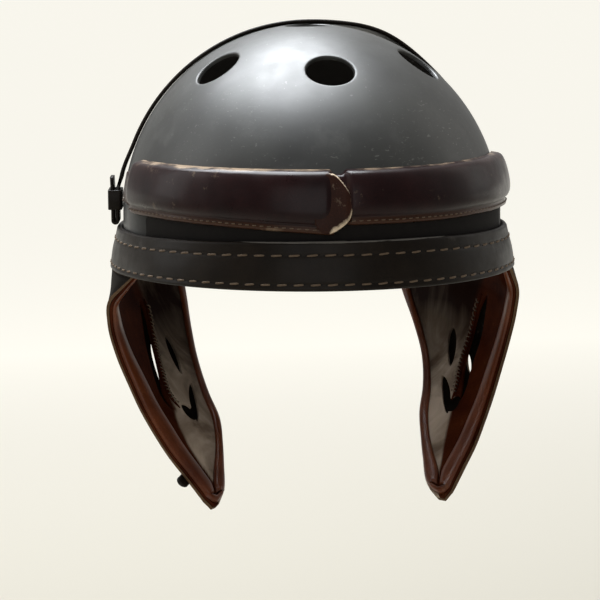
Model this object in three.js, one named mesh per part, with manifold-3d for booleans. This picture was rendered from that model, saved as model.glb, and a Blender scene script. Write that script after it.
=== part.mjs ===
// A crash helmet for vehicle crews. A vented fibre dome carries a padded leather bumper in two
// lengths, a leather band folded round its edge, a strap over the crown and two lined ear flaps.
// Millimetres, +Z up. The front faces -Y, so the wearer's left is +X.
// The origin is the middle of the head opening, level with the bottom of the rim band.

import * as THREE from "three";
import { mergeVertices } from "three/addons/utils/BufferGeometryUtils.js";
import Module from "manifold-3d";

const wasm = await Module();
wasm.setup();

// Clearance that touching pieces keep
const GAP = 0.3;

// Dome
const domeHalfWidth = 104;
const domeHalfDepth = 125;
const domeRise = 105.5; // from the widest level up to the apex
const widestLevel = 28;
const domeWall = 3;
const domeFoot = 3.2; // bottom edge of the fibre, above the origin
const ventDiameter = 26.5;
const ventPolar = 36.5; // degrees from the apex
const ventCount = 6;

// Rim band
const bandHeight = 26; // at the front and the back
const bandSideHeight = 23;
const bandLeather = 3;
const bandFlare = 4.4; // how much further out its bottom edge stands than its top
const bandReturn = 14; // height of the leg folded up inside the dome
const returnLeather = 2.2;

// Bumper, with its heights above the origin
const bumperBottom = 34.5;
const bumperHeight = 28.5;
const bumperThick = 6.6;
const bumperReach = 79; // degrees from the front to the end of the padding
const bumperLap = 9; // how far the right length laps over the left one
const lapLeather = 2;
const lapSide = 2; // how far to the wearer's left of the middle the lap ends
const lapDroop = 5; // extra depth of the right length at the lap
const tabHeight = 17;
const tabLeather = 2.2;
const tabReach = 87; // degrees from the front to the end of the tab

// Strap over the crown and the loops that hold its turned ends
const strapBack = 22; // behind the middle of the dome
const strapWidth = 18;
const strapLeather = 2;
const strapSlack = 2.6; // how far it stands off where it is loose
const slackAt = 24; // degrees from the crown to the loose stretch, and its span
const slackSpan = 13;
const strapRise = 11; // degrees over which it lifts to clear the loops
const loopLead = 6; // height over which it comes off the dome above them
const foldHeight = 24; // length of the turned end
const loopHeight = 11;
const loopLeather = 1.3;
const loopRaise = 9; // bottom of the loop above the rim band

// Ear flaps
const flapDrop = 125.5;
const flapSpread = 11; // how far it can stand out past the dome's widest
const flapHalfWidth = domeHalfWidth + flapSpread;
const flapForward = domeHalfDepth * 0.432;
const flapBack = domeHalfDepth * 0.848;
const flapLeather = 1.8;
const liningLeather = 1.5;
const flapTwist = 7.5; // how far the rear edge of each flap leans to the wearer's left
const hemWidth = 7.5;
const widestHem = 0.44; // share of the flap's width that each hem takes at most
const hemLeather = 1.4;
const rollWidth = 3.6;
const rollHeight = 2.6;

// Ends of the chin strap at the tips of the flaps
const stubWidth = 7;
const stubLeather = 2.4;
const stubLength = 27;

// Sections of an ear flap from the rim down. drop is a share of flapDrop. Each point is a share
// out to flapHalfWidth, then one back to flapBack or, below zero, forward to flapForward.
const flapSections = [
  { drop: 0.0, front: [0.9, -0.7], middle: [0.905, 0.32], rear: [0.54, 0.99] },
  { drop: 0.061, front: [0.943, -0.46], middle: [0.9, 0.36], rear: [0.548, 1.0] },
  { drop: 0.122, front: [0.983, -0.22], middle: [0.88, 0.41], rear: [0.557, 0.99] },
  { drop: 0.229, front: [0.987, -0.07], middle: [0.84, 0.42], rear: [0.565, 0.935] },
  { drop: 0.366, front: [0.952, -0.06], middle: [0.803, 0.385], rear: [0.574, 0.775] },
  { drop: 0.496, front: [0.9, -0.15], middle: [0.754, 0.255], rear: [0.57, 0.55] },
  { drop: 0.611, front: [0.848, -0.26], middle: [0.71, 0.12], rear: [0.54, 0.34] },
  { drop: 0.702, front: [0.796, -0.41], middle: [0.662, -0.01], rear: [0.5, 0.16] },
  { drop: 0.794, front: [0.735, -0.58], middle: [0.623, -0.26], rear: [0.492, 0.0] },
  { drop: 0.878, front: [0.665, -0.75], middle: [0.585, -0.5], rear: [0.492, -0.3] },
  { drop: 0.955, front: [0.603, -0.9], middle: [0.553, -0.74], rear: [0.496, -0.6] },
  { drop: 1.0, front: [0.568, -1.0], middle: [0.545, -0.93], rear: [0.515, -0.83] },
];

// Cuts in the lining over the ear. Each runs from one end to the other as a pointed leaf. An end is a share
// across from the front edge, then a share of flapDrop. The width is a share of earSlotWidth.
const earSlotWidth = 9;
const earSlotShift = 0.03; // share by which they sit further forward on the wearer's left flap
const earSlots = [
  { from: [0.44, 0.19], to: [0.56, 0.64], width: 1 },
  { from: [0.68, 0.36], to: [0.7, 0.52], width: 0.6 },
  { from: [0.51, 0.615], to: [0.66, 0.675], width: 0.6 },
  { from: [0.63, 0.685], to: [0.79, 0.56], width: 0.55 },
];

// The one slot that goes on through the outer leather
const skinSlot = { from: [0.455, 0.28], to: [0.55, 0.6], width: 0.6 };

// Stand-off of the padding's back, and its fullness at the very ends
const padSeat = GAP * 1.6;
const padEnd = 0.55;

// Cross-section of the padding: share of its height, share of its thickness.
const padSection = [
  [0, 0],
  [0, 0.42],
  [0.11, 0.5],
  [0.17, 0.8],
  [0.32, 1],
  [0.7, 1],
  [0.9, 0.82],
  [0.985, 0.45],
  [1, 0],
  [0.66, 0],
  [0.33, 0],
];

// How fine the curved faces are
const domeSides = 44;
const domeRows = 9;
const bandSides = 44;
const padSteps = 18;
const padCrowding = 1.25; // above 1 the steps crowd towards the front end
const flapRows = 14;
const flapColumns = 6; // between the hems
const leafSteps = 6;
const strapSteps = 26;
const foldSteps = 6;
const ventSides = 16;
const ballSteps = 6;

const degrees = THREE.MathUtils.degToRad;
const lerp = THREE.MathUtils.lerp;
const clamp = THREE.MathUtils.clamp;
const smoothstep = THREE.MathUtils.smoothstep;

const leatherBlack = new THREE.MeshStandardMaterial({ color: 0x1d1b19, roughness: 0.55 });
const leatherOxblood = new THREE.MeshStandardMaterial({ color: 0x2e1412, roughness: 0.45 });
const leatherBrown = new THREE.MeshStandardMaterial({ color: 0x4a2013, roughness: 0.35 });
const fibreBlack = new THREE.MeshStandardMaterial({ color: 0x232523, roughness: 0.5 });

// A solid from points and triangles, with its faces turned outwards.
function solidFrom(points, triangles) {
  const geometry = new THREE.BufferGeometry().setFromPoints(points);
  geometry.setIndex(triangles);
  return solidOf(geometry);
}

function solidOf(geometry) {
  const plain = geometry.clone();
  plain.deleteAttribute("normal");
  plain.deleteAttribute("uv");
  const merged = mergeVertices(plain, 1e-4);
  const position = merged.getAttribute("position");
  const triVerts = new Uint32Array(merged.index.array);
  if (signedVolume(position, triVerts) < 0) triVerts.reverse();
  return new wasm.Manifold(
    new wasm.Mesh({ numProp: 3, vertProperties: new Float32Array(position.array), triVerts }),
  );
}

function signedVolume(position, triVerts) {
  const corners = [new THREE.Vector3(), new THREE.Vector3(), new THREE.Vector3()];
  let volume = 0;
  for (let i = 0; i < triVerts.length; i += 3) {
    corners.forEach((corner, k) => corner.fromBufferAttribute(position, triVerts[i + k]));
    volume += corners[0].dot(corners[1].cross(corners[2]));
  }
  return volume;
}

function meshOf(name, material, solid) {
  const { numProp, vertProperties, triVerts } = solid.getMesh();
  const geometry = new THREE.BufferGeometry();
  const position = new THREE.BufferAttribute(new Float32Array(vertProperties), numProp);
  geometry.setAttribute("position", position);
  geometry.setIndex(new THREE.BufferAttribute(new Uint32Array(triVerts), 1));
  geometry.computeVertexNormals();
  const mesh = new THREE.Mesh(geometry, material);
  mesh.name = name;
  return mesh;
}

// A solid through rings of points. A row of rings ends in two caps, or closes on itself.
function loft(rings, closed = false) {
  const count = rings[0].length;
  const triangles = [];
  const spans = closed ? rings.length : rings.length - 1;
  for (let r = 0; r < spans; r++) {
    const here = r * count;
    const next = ((r + 1) % rings.length) * count;
    for (let i = 0; i < count; i++) {
      const j = (i + 1) % count;
      triangles.push(here + i, here + j, next + j, here + i, next + j, next + i);
    }
  }
  if (!closed) {
    const last = (rings.length - 1) * count;
    for (let i = 1; i < count - 1; i++) {
      triangles.push(0, i + 1, i);
      triangles.push(last, last + i, last + i + 1);
    }
  }
  return solidFrom(rings.flat(), triangles);
}

// A sheet's solid from two grids of points, one for each face, with walls round its border.
function sheet(inner, outer) {
  const rows = inner.length;
  const columns = inner[0].length;
  const outerStart = rows * columns;
  const triangles = [];
  const at = (r, c) => r * columns + c;
  for (let r = 0; r < rows - 1; r++) {
    for (let c = 0; c < columns - 1; c++) {
      const quad = [at(r, c), at(r + 1, c), at(r + 1, c + 1), at(r, c + 1)];
      triangles.push(quad[0], quad[1], quad[2], quad[0], quad[2], quad[3]);
      const far = quad.map((k) => k + outerStart);
      triangles.push(far[0], far[2], far[1], far[0], far[3], far[2]);
    }
  }
  const border = [];
  for (let c = 0; c < columns - 1; c++) border.push(at(0, c));
  for (let r = 0; r < rows - 1; r++) border.push(at(r, columns - 1));
  for (let c = columns - 1; c > 0; c--) border.push(at(rows - 1, c));
  for (let r = rows - 1; r > 0; r--) border.push(at(r, 0));
  border.forEach((a, k) => {
    const b = border[(k + 1) % border.length];
    triangles.push(a, b, b + outerStart, a, b + outerStart, a + outerStart);
  });
  return solidFrom([...inner.flat(), ...outer.flat()], triangles);
}

// Width of the dome at a height, as a share of its widest.
function domeShare(z) {
  const climb = clamp((z - widestLevel) / domeRise, 0, 1);
  return Math.sqrt(1 - climb * climb);
}

// A point that stands off the dome. Azimuth 0 is the front, and it grows to the wearer's left.
function offDome(azimuth, z, out) {
  const share = domeShare(z);
  const x = (domeHalfWidth * share + out) * Math.sin(azimuth);
  const y = -(domeHalfDepth * share + out) * Math.cos(azimuth);
  return new THREE.Vector3(x, y, z);
}

// The upper half of an ellipsoid on a short wall, solid, in from the dome's outside by inset.
function domeBlank(inset, foot) {
  const profile = [new THREE.Vector2(0, foot)];
  const halfWidth = domeHalfWidth - inset;
  const rise = domeRise - inset;
  profile.push(new THREE.Vector2(halfWidth, foot));
  for (let i = 0; i <= domeRows; i++) {
    const angle = (i / domeRows) * (Math.PI / 2);
    const height = widestLevel + rise * Math.sin(angle);
    profile.push(new THREE.Vector2(i === domeRows ? 0 : halfWidth * Math.cos(angle), height));
  }
  const lathe = new THREE.LatheGeometry(profile, domeSides);
  lathe.rotateX(Math.PI / 2);
  lathe.scale(1, (domeHalfDepth - inset) / halfWidth, 1);
  return solidOf(lathe);
}

// Where a vent pierces the dome, and the way that it faces.
function ventAt(azimuth, polar) {
  const level = widestLevel + domeRise * Math.cos(polar);
  const spread = Math.sin(polar);
  const around = Math.atan2(Math.sin(azimuth) * domeHalfDepth, Math.cos(azimuth) * domeHalfWidth);
  const x = domeHalfWidth * spread * Math.sin(around);
  const y = -domeHalfDepth * spread * Math.cos(around);
  const facing = new THREE.Vector3(
    x / domeHalfWidth ** 2,
    y / domeHalfDepth ** 2,
    (level - widestLevel) / domeRise ** 2,
  ).normalize();
  return { centre: new THREE.Vector3(x, y, level), facing };
}

function ventCutter({ centre, facing }) {
  const bore = new THREE.CylinderGeometry(
    ventDiameter / 2,
    ventDiameter / 2,
    domeWall * 8,
    ventSides,
  );
  const turn = new THREE.Quaternion().setFromUnitVectors(new THREE.Vector3(0, 1, 0), facing);
  bore.applyQuaternion(turn);
  bore.translate(centre.x, centre.y, centre.z);
  return solidOf(bore);
}

function makeDome() {
  let shell = domeBlank(0, domeFoot).subtract(domeBlank(domeWall, domeFoot - domeWall));
  shell = shell.subtract(ventCutter(ventAt(0, 0)));
  for (let i = 0; i < ventCount; i++) {
    const azimuth = (i / ventCount) * Math.PI * 2;
    shell = shell.subtract(ventCutter(ventAt(azimuth, degrees(ventPolar))));
  }
  return meshOf("dome_shell", fibreBlack, shell);
}

// The band's top edge is lower at the sides of the head.
function bandTop(azimuth) {
  return lerp(bandSideHeight, bandHeight, Math.cos(azimuth) ** 2);
}

// The band is one strip of leather: up the outside of the dome, round its edge and up the inside.
function makeRimBand() {
  const topOut = GAP + bandLeather;
  const bottomOut = topOut + bandFlare;
  const edge = bandLeather * 0.3;
  const inside = -domeWall - GAP;
  const section = [
    [GAP, 1, -edge],
    [GAP + edge, 1, 0],
    [topOut - edge, 1, 0],
    [topOut, 1, -edge],
    [lerp(topOut, bottomOut, 0.6), 0.45, 0],
    [bottomOut, 0, edge * 2],
    [bottomOut - edge, 0, 0],
    [inside - returnLeather + edge, 0, 0],
    [inside - returnLeather, 0, edge],
    [inside - returnLeather, 0, bandReturn],
    [inside, 0, bandReturn],
    [inside, 0, domeFoot - GAP],
    [GAP, 0, domeFoot - GAP],
  ];
  const rings = [];
  for (let i = 0; i < bandSides; i++) {
    const azimuth = (i / bandSides) * Math.PI * 2;
    const top = bandTop(azimuth);
    rings.push(section.map(([out, share, lift]) => offDome(azimuth, share * top + lift, out)));
  }
  return meshOf("rim_band", leatherBlack, loft(rings, true));
}

// One cross-section of a bumper length at an azimuth.
function padRing(azimuth, bottom, height, thick) {
  return padSection.map(([up, out]) => offDome(azimuth, bottom + up * height, padSeat + out * thick));
}

// The angle round the dome that a length takes up at the front
function frontAngle(length) {
  return length / domeHalfWidth;
}

// A length of padding from its front end back to the flat tab that ties it down. front is the
// azimuth of its front end, droop the extra depth there, and thin the length that stays thin.
function bumperPad(front, droop, thin) {
  const rear = degrees(bumperReach);
  const rings = [];
  for (let i = 0; i <= padSteps; i++) {
    const along = (i / padSteps) ** padCrowding;
    const azimuth = lerp(front, rear, along);
    const fromFront = Math.max(0, (azimuth - front) * domeHalfWidth - thin) / bumperThick;
    const fromRear = ((rear - azimuth) * domeHalfDepth) / bumperThick;
    const fullness = Math.min(1, lerp(padEnd, 1, fromFront), lerp(padEnd, 1, fromRear * 0.8));
    const sag = droop * (1 - along) ** 2;
    const height = (bumperHeight + sag) * lerp(0.8, 1, Math.min(1, fullness * 1.1));
    const bottom = bumperBottom - sag + (bumperHeight + sag - height) / 2;
    rings.push(padRing(azimuth, bottom, height, bumperThick * fullness));
  }
  const tabBottom = bumperBottom + (bumperHeight - tabHeight) / 3;
  for (const along of [0.15, 0.6, 1]) {
    const azimuth = lerp(rear, degrees(tabReach), along);
    rings.push(padRing(azimuth, tabBottom, tabHeight, tabLeather));
  }
  return loft(rings);
}

// The thin tongue of the right length that lies over the start of the left one.
function lapTongue(start, end) {
  const rings = [];
  const under = padSeat + bumperThick * padEnd + GAP;
  for (let i = 0; i <= ballSteps; i++) {
    const along = i / ballSteps;
    const azimuth = lerp(start, end, along);
    const roundness = Math.sqrt(1 - (along * 0.96) ** 2);
    const height = (bumperHeight + lapDroop) * lerp(0.5, 0.96, roundness);
    const bottom = bumperBottom - lapDroop + (bumperHeight + lapDroop - height) / 2;
    const ring = padSection.map(([up, out]) =>
      offDome(azimuth, bottom + up * height, under + Math.min(1, out * 2) * lapLeather),
    );
    rings.push(ring);
  }
  return loft(rings);
}

function makeBumpers() {
  const lapEnd = frontAngle(lapSide);
  const seam = lapEnd - frontAngle(bumperLap);
  const right = mirror(bumperPad(frontAngle(GAP) - seam, lapDroop, 0));
  const tongue = lapTongue(seam - frontAngle(bumperThick), lapEnd);
  const left = bumperPad(seam + frontAngle(GAP), 0, bumperLap);
  return [
    meshOf("bumper_right", leatherOxblood, right.add(tongue)),
    meshOf("bumper_left", leatherOxblood, left),
  ];
}

function mirror(solid) {
  return solid.mirror([1, 0, 0]);
}

// Level of the loops' upper edge, and the angle from the crown where the strap starts its way
// straight down through them.
const loopTop = bandSideHeight + loopRaise + loopHeight;
const strapShare = Math.sqrt(1 - (strapBack / domeHalfDepth) ** 2);
const strapReach = THREE.MathUtils.radToDeg(
  Math.acos((loopTop + loopLead - widestLevel) / (domeRise * strapShare)),
);

// How far the strap stands off the dome: over the loops at its ends, and where it hangs loose.
function strapStand(angle) {
  const rise = smoothstep(Math.abs(angle), strapReach - strapRise, strapReach);
  const slack = Math.exp(-(((angle - slackAt) / slackSpan) ** 2));
  return (loopLeather + GAP) * rise + strapSlack * slack;
}

// What it stands off beside the dome, where the loop's back leg lies under it
const footStand = loopLeather + GAP;

// A point of the strap's path. Angle 0 is over the crown, and it grows to the wearer's left.
function strapPoint(angle, out) {
  const x = domeHalfWidth * strapShare * Math.sin(degrees(angle));
  const z = domeRise * strapShare * Math.cos(degrees(angle));
  const facing = new THREE.Vector3(
    x / domeHalfWidth ** 2,
    strapBack / domeHalfDepth ** 2,
    z / domeRise ** 2,
  ).normalize();
  const centre = new THREE.Vector3(x, strapBack, widestLevel + z).addScaledVector(facing, out);
  return { centre, facing };
}

// A flat strap's cross-section about a centre, with its corners eased.
function strapRing(centre, facing, across, width, leather) {
  const ease = leather * 0.3;
  const corners = [
    [-width / 2, -leather / 2 + ease],
    [-width / 2 + ease, -leather / 2],
    [width / 2 - ease, -leather / 2],
    [width / 2, -leather / 2 + ease],
    [width / 2, leather / 2 - ease],
    [width / 2 - ease, leather / 2],
    [-width / 2 + ease, leather / 2],
    [-width / 2, leather / 2 - ease],
  ];
  return corners.map(([a, b]) =>
    centre.clone().addScaledVector(across, a).addScaledVector(facing, b),
  );
}

// Stand-off of the middle of the strap's thickness
const strapSeat = GAP + strapLeather / 2;

// The side of the dome where the strap comes down: a point, the way out and the way back.
function strapFoot(side) {
  const { centre, facing } = strapPoint(90 * side, 0);
  const across = new THREE.Vector3(0, 0, 1).cross(facing).multiplyScalar(side);
  return { centre, facing, across };
}

function makeCrownStrap() {
  const rings = [];
  const endFor = (side) => {
    const { centre, facing, across } = strapFoot(side);
    const stand = strapSeat + footStand;
    const turn = (strapLeather + GAP * 2) / 2;
    const low = bandSideHeight + GAP * 2 + turn + strapLeather / 2;
    const out = [];
    const put = (z, reach, face) => {
      const middle = centre.clone().addScaledVector(facing, reach);
      middle.z = z;
      out.push(strapRing(middle, face, across, strapWidth, strapLeather));
    };
    put(loopTop + GAP, stand, facing);
    for (let i = 0; i <= foldSteps; i++) {
      const angle = (i / foldSteps) * Math.PI;
      const face = facing.clone().multiplyScalar(Math.cos(angle));
      face.z = Math.sin(angle);
      const reach = stand + turn - turn * Math.cos(angle);
      put(low - turn * Math.sin(angle), reach, face.normalize());
    }
    const back = facing.clone().negate();
    put(low + foldHeight * 0.6, stand + turn * 2, back);
    put(low + foldHeight, stand + turn * 2.3, back);
    return out;
  };
  const left = endFor(1);
  const right = endFor(-1).reverse();
  rings.push(...right);
  for (let i = 0; i <= strapSteps; i++) {
    const angle = lerp(-strapReach, strapReach, i / strapSteps);
    const { centre, facing } = strapPoint(angle, strapSeat + strapStand(angle));
    const ahead = strapPoint(angle + 1, strapSeat + strapStand(angle + 1)).centre;
    const along = ahead.sub(centre).normalize();
    const across = along.clone().cross(facing).normalize();
    const face = across.clone().cross(along).normalize();
    rings.push(strapRing(centre, face, across, strapWidth, strapLeather));
  }
  rings.push(...left);
  return meshOf("crown_strap", leatherBlack, loft(rings));
}

// A leather loop round the strap and its turned end.
function makeStrapLoop(side) {
  const { centre, facing, across } = strapFoot(side);
  const depth = strapSeat + footStand + strapLeather * 1.5 + GAP * 2 + loopLeather;
  const width = strapWidth + (loopLeather + GAP) * 2;
  const outline = new THREE.Shape();
  roundedBox(outline, -width / 2, GAP, width, depth, loopLeather);
  const hollow = new THREE.Path();
  const inner = loopLeather;
  roundedBox(
    hollow,
    -width / 2 + inner,
    GAP + inner,
    width - inner * 2,
    depth - inner * 2,
    loopLeather / 2,
  );
  outline.holes.push(hollow);
  const loop = new THREE.ExtrudeGeometry(outline, {
    depth: loopHeight,
    bevelEnabled: false,
    curveSegments: 3,
  });
  const frame = new THREE.Matrix4().makeBasis(across, facing, new THREE.Vector3(0, 0, 1));
  frame.setPosition(centre.x, centre.y, bandSideHeight + loopRaise);
  loop.applyMatrix4(frame);
  const name = side > 0 ? "strap_loop_left" : "strap_loop_right";
  return meshOf(name, leatherBlack, solidOf(loop));
}

function roundedBox(path, x, y, width, depth, radius) {
  const r = Math.min(radius, width / 2, depth / 2);
  path.moveTo(x + r, y);
  path.lineTo(x + width - r, y);
  path.absarc(x + width - r, y + r, r, -Math.PI / 2, 0);
  path.lineTo(x + width, y + depth - r);
  path.absarc(x + width - r, y + depth - r, r, 0, Math.PI / 2);
  path.lineTo(x + r, y + depth);
  path.absarc(x + r, y + depth - r, r, Math.PI / 2, Math.PI);
  path.lineTo(x, y + r);
  path.absarc(x + r, y + r, r, Math.PI, Math.PI * 1.5);
}

// The three edges of the flap that its sections give: front, middle and rear.
const flapTop = -GAP;
const flapCurves = ["front", "middle", "rear"].map(
  (edge) =>
    new THREE.CatmullRomCurve3(
      flapSections.map((section) => {
        const [out, reach] = section[edge];
        const y = reach < 0 ? reach * flapForward : reach * flapBack;
        return new THREE.Vector3(out * flapHalfWidth, y, flapTop - section.drop * flapDrop);
      }),
      false,
      "centripetal",
    ),
);

// The place of a drop among the sections, as the curves count it.
function sectionAt(drop) {
  const next = flapSections.findIndex((section) => section.drop >= drop);
  if (next <= 0) return next === 0 ? 0 : 1;
  const above = flapSections[next - 1].drop;
  const below = flapSections[next].drop;
  return (next - 1 + (drop - above) / (below - above)) / (flapSections.length - 1);
}

// A point of a flap's middle surface. across runs from the front edge to the rear edge.
function flapPoint(side, across, drop) {
  const place = sectionAt(drop);
  const [front, middle, rear] = flapCurves.map((curve) => curve.getPoint(place));
  const point = front.multiplyScalar((1 - across) * (1 - 2 * across));
  point.addScaledVector(middle, 4 * across * (1 - across));
  point.addScaledVector(rear, across * (2 * across - 1));
  point.x += side * flapTwist * Math.sin(Math.PI * drop) * Math.sqrt(Math.max(0, across));
  point.x *= side;
  return point;
}

// The way out of a flap, square to its surface but level along its cut top edge.
function flapFacing(side, across, drop) {
  const step = 0.01;
  const low = Math.min(drop, 1 - step);
  const inward = Math.min(across, 1 - step);
  const back = flapPoint(side, inward + step, low).sub(flapPoint(side, inward, low));
  const down = flapPoint(side, inward, low + step).sub(flapPoint(side, inward, low));
  const facing = down.cross(back).normalize().multiplyScalar(side);
  facing.z *= Math.min(1, drop / flapSections[2].drop);
  return facing.normalize();
}

function flapOffset(side, across, drop, out) {
  return flapPoint(side, across, drop).addScaledVector(flapFacing(side, across, drop), out);
}

function flapWidthAt(side, drop) {
  return flapPoint(side, 0, drop).distanceTo(flapPoint(side, 1, drop));
}

// The shares across at which a flap is divided: its two hems, and equal columns between them.
function flapShares(side, drop) {
  const hem = Math.min(widestHem, hemWidth / flapWidthAt(side, drop));
  const shares = [0];
  for (let c = 0; c <= flapColumns; c++) shares.push(lerp(hem, 1 - hem, c / flapColumns));
  return [...shares, 1];
}

// A layer of a flap between two stand-offs. It has the columns from one share to another, and
// the rows from one down to the tip.
function flapLayer(side, inner, outer, columns = [0, flapColumns + 2], fromRow = 0) {
  const faces = [inner, outer].map((out) => {
    const rows = [];
    for (let r = fromRow; r <= flapRows; r++) {
      const drop = r / flapRows;
      const shares = flapShares(side, drop).slice(columns[0], columns[1] + 1);
      rows.push(shares.map((across) => flapOffset(side, across, drop, out)));
    }
    return rows;
  });
  return sheet(faces[0], faces[1]);
}

// The outline of an ear slot, as shares across and of the drop.
function leafOutline(side, slot, widen = 0) {
  const [fromAcross, fromDrop] = slot.from;
  const [toAcross, toDrop] = slot.to;
  const width = flapWidthAt(side, (fromDrop + toDrop) / 2);
  const run = new THREE.Vector2((toAcross - fromAcross) * width, (toDrop - fromDrop) * flapDrop);
  const normal = new THREE.Vector2(-run.y, run.x).normalize();
  const half = (slot.width * earSlotWidth) / 2 + widen;
  const outline = [];
  for (let i = 0; i < leafSteps * 2; i++) {
    const angle = (i / leafSteps) * Math.PI;
    const along = 0.5 - 0.5 * Math.cos(angle);
    const aside = half * Math.sin(angle) * Math.abs(Math.sin(angle)) ** 0.25;
    outline.push([
      lerp(fromAcross, toAcross, along) - side * earSlotShift + (normal.x * aside) / width,
      lerp(fromDrop, toDrop, along) + (normal.y * aside) / flapDrop,
    ]);
  }
  return outline;
}

function slotCutter(side, slot) {
  const reach = (flapLeather + liningLeather) * 2;
  const outline = leafOutline(side, slot);
  return loft(
    [-reach, reach].map((out) =>
      outline.map(([across, drop]) => flapOffset(side, across, drop, out)),
    ),
  );
}

// The raised roll of leather along the rear edge of the main ear slot.
function earRoll(side) {
  const outline = leafOutline(side, earSlots[0], rollWidth / 2);
  const rear = outline.filter(([across], i) => i > 0 && i < leafSteps);
  const front = outline.filter(([across], i) => i > leafSteps);
  const edge = mean(rear) > mean(front) ? rear : front;
  const base = -GAP * 2.5 - liningLeather;
  const points = edge.map(([across, drop]) => ({
    centre: flapOffset(side, across, drop, base),
    facing: flapFacing(side, across, drop).negate(),
  }));
  const rings = points.map(({ centre, facing }, i) => {
    const ahead = points[Math.min(i + 1, points.length - 1)].centre;
    const behind = points[Math.max(i - 1, 0)].centre;
    const along = ahead.clone().sub(behind).normalize();
    const aside = along.clone().cross(facing).normalize();
    const share = Math.sin(((i + 1) / (points.length + 1)) * Math.PI) ** 0.5;
    return halfRound(centre, aside, facing, (rollWidth / 2) * share, rollHeight * share);
  });
  return loft(rings);
}

function mean(outline) {
  return outline.reduce((sum, [across]) => sum + across, 0) / outline.length;
}

function halfRound(centre, aside, facing, halfWidth, height) {
  const ring = [];
  for (let i = 0; i <= ballSteps; i++) {
    const angle = (i / ballSteps) * Math.PI;
    const point = centre.clone().addScaledVector(aside, halfWidth * Math.cos(angle));
    ring.push(point.addScaledVector(facing, height * Math.sin(angle)));
  }
  return ring;
}

// A turned hem down the front of the lining, round the tip and up the rear.
function flapHem(side) {
  const inner = -GAP * 1.5 - liningLeather - hemLeather;
  const outer = -GAP * 1.5 - liningLeather;
  const front = flapLayer(side, inner, outer, [0, 1]);
  const rear = flapLayer(side, inner, outer, [flapColumns + 1, flapColumns + 2]);
  const tip = flapLayer(side, inner, outer, [0, flapColumns + 2], flapRows - 1);
  return front.add(rear).add(tip);
}

function makeEarFlap(side) {
  const hand = side > 0 ? "left" : "right";
  const half = GAP / 2;
  let skin = flapLayer(side, half, half + flapLeather);
  let lining = flapLayer(side, -half - liningLeather, -half);
  skin = skin.subtract(slotCutter(side, skinSlot));
  earSlots.forEach((slot) => {
    lining = lining.subtract(slotCutter(side, slot));
  });
  return [
    meshOf("ear_flap_" + hand, leatherBlack, skin),
    meshOf("ear_lining_" + hand, leatherBrown, lining),
    meshOf("flap_hem_" + hand, leatherBrown, flapHem(side)),
    meshOf("ear_roll_" + hand, leatherBrown, earRoll(side)),
  ];
}

// The end of the chin strap on the outside of a flap, from its stitched end to its rounded one.
// Each end is a share across the flap, then a share of flapDrop.
const stubRoutes = [
  { side: -1, from: [0.5, 0.84], to: [0, 0.875] },
  { side: 1, from: [0.5, 0.84], to: [0.3, 1] },
];

function makeStub({ side, from, to }) {
  const stand = GAP * 2 + flapLeather + stubLeather / 2;
  const start = flapOffset(side, from[0], from[1], stand);
  const facing = flapFacing(side, from[0], from[1]);
  const aim = flapOffset(side, to[0], to[1], stand);
  const along = aim.sub(start).normalize();
  const across = along.clone().cross(facing).normalize();
  const face = across.clone().cross(along).normalize();
  const rings = [];
  for (let i = 0; i <= ballSteps * 2; i++) {
    const share = i / (ballSteps * 2);
    const fromEnd = Math.min(share, 1 - share) * stubLength;
    const round = Math.min(1, (fromEnd + stubLeather / 4) / (stubWidth / 2));
    const width = stubWidth * Math.sqrt(1 - (1 - round) ** 2);
    const centre = start.clone().addScaledVector(along, share * stubLength);
    rings.push(strapRing(centre, face, across, width, stubLeather));
  }
  const name = side > 0 ? "chin_strap_end_left" : "chin_strap_end_right";
  return meshOf(name, leatherBlack, loft(rings));
}

const helmet = new THREE.Group();
helmet.add(makeDome(), makeRimBand(), ...makeBumpers(), makeCrownStrap());
for (const side of [-1, 1]) {
  helmet.add(makeStrapLoop(side), ...makeEarFlap(side));
}
stubRoutes.forEach((route) => helmet.add(makeStub(route)));

export default helmet;
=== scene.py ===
import math

import bmesh
import bpy
import numpy as np
from mathutils import Matrix, Vector
from mathutils.geometry import delaunay_2d_cdt


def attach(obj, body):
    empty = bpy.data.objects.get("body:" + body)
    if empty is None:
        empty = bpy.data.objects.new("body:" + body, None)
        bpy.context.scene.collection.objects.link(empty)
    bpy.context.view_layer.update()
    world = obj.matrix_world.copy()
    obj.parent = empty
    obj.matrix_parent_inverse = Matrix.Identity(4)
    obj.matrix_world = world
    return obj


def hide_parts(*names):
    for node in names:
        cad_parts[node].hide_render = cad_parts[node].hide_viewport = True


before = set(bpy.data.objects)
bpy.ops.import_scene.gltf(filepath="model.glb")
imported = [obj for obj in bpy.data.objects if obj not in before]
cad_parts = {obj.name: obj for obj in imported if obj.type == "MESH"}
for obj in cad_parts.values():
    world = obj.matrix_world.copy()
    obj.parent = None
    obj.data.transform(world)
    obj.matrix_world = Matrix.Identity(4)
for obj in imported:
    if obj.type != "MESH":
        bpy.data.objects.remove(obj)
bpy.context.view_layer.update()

MM = 0.001
GAP = 0.3

# Dome, in millimetres
HALF_WIDTH = 104.0
HALF_DEPTH = 125.0
RISE = 105.5
WIDEST = 28.0
WALL = 3.0
FOOT = 3.2
FOOT_EASE = 0.8
DOME_RINGS = 46
VENT_RADIUS = 13.25
VENT_POLAR = math.radians(36.5)
VENT_COUNT = 6
VENT_LIP = 0.9
VENT_CLEAR = 5.2
VENT_STEPS = 56

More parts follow.
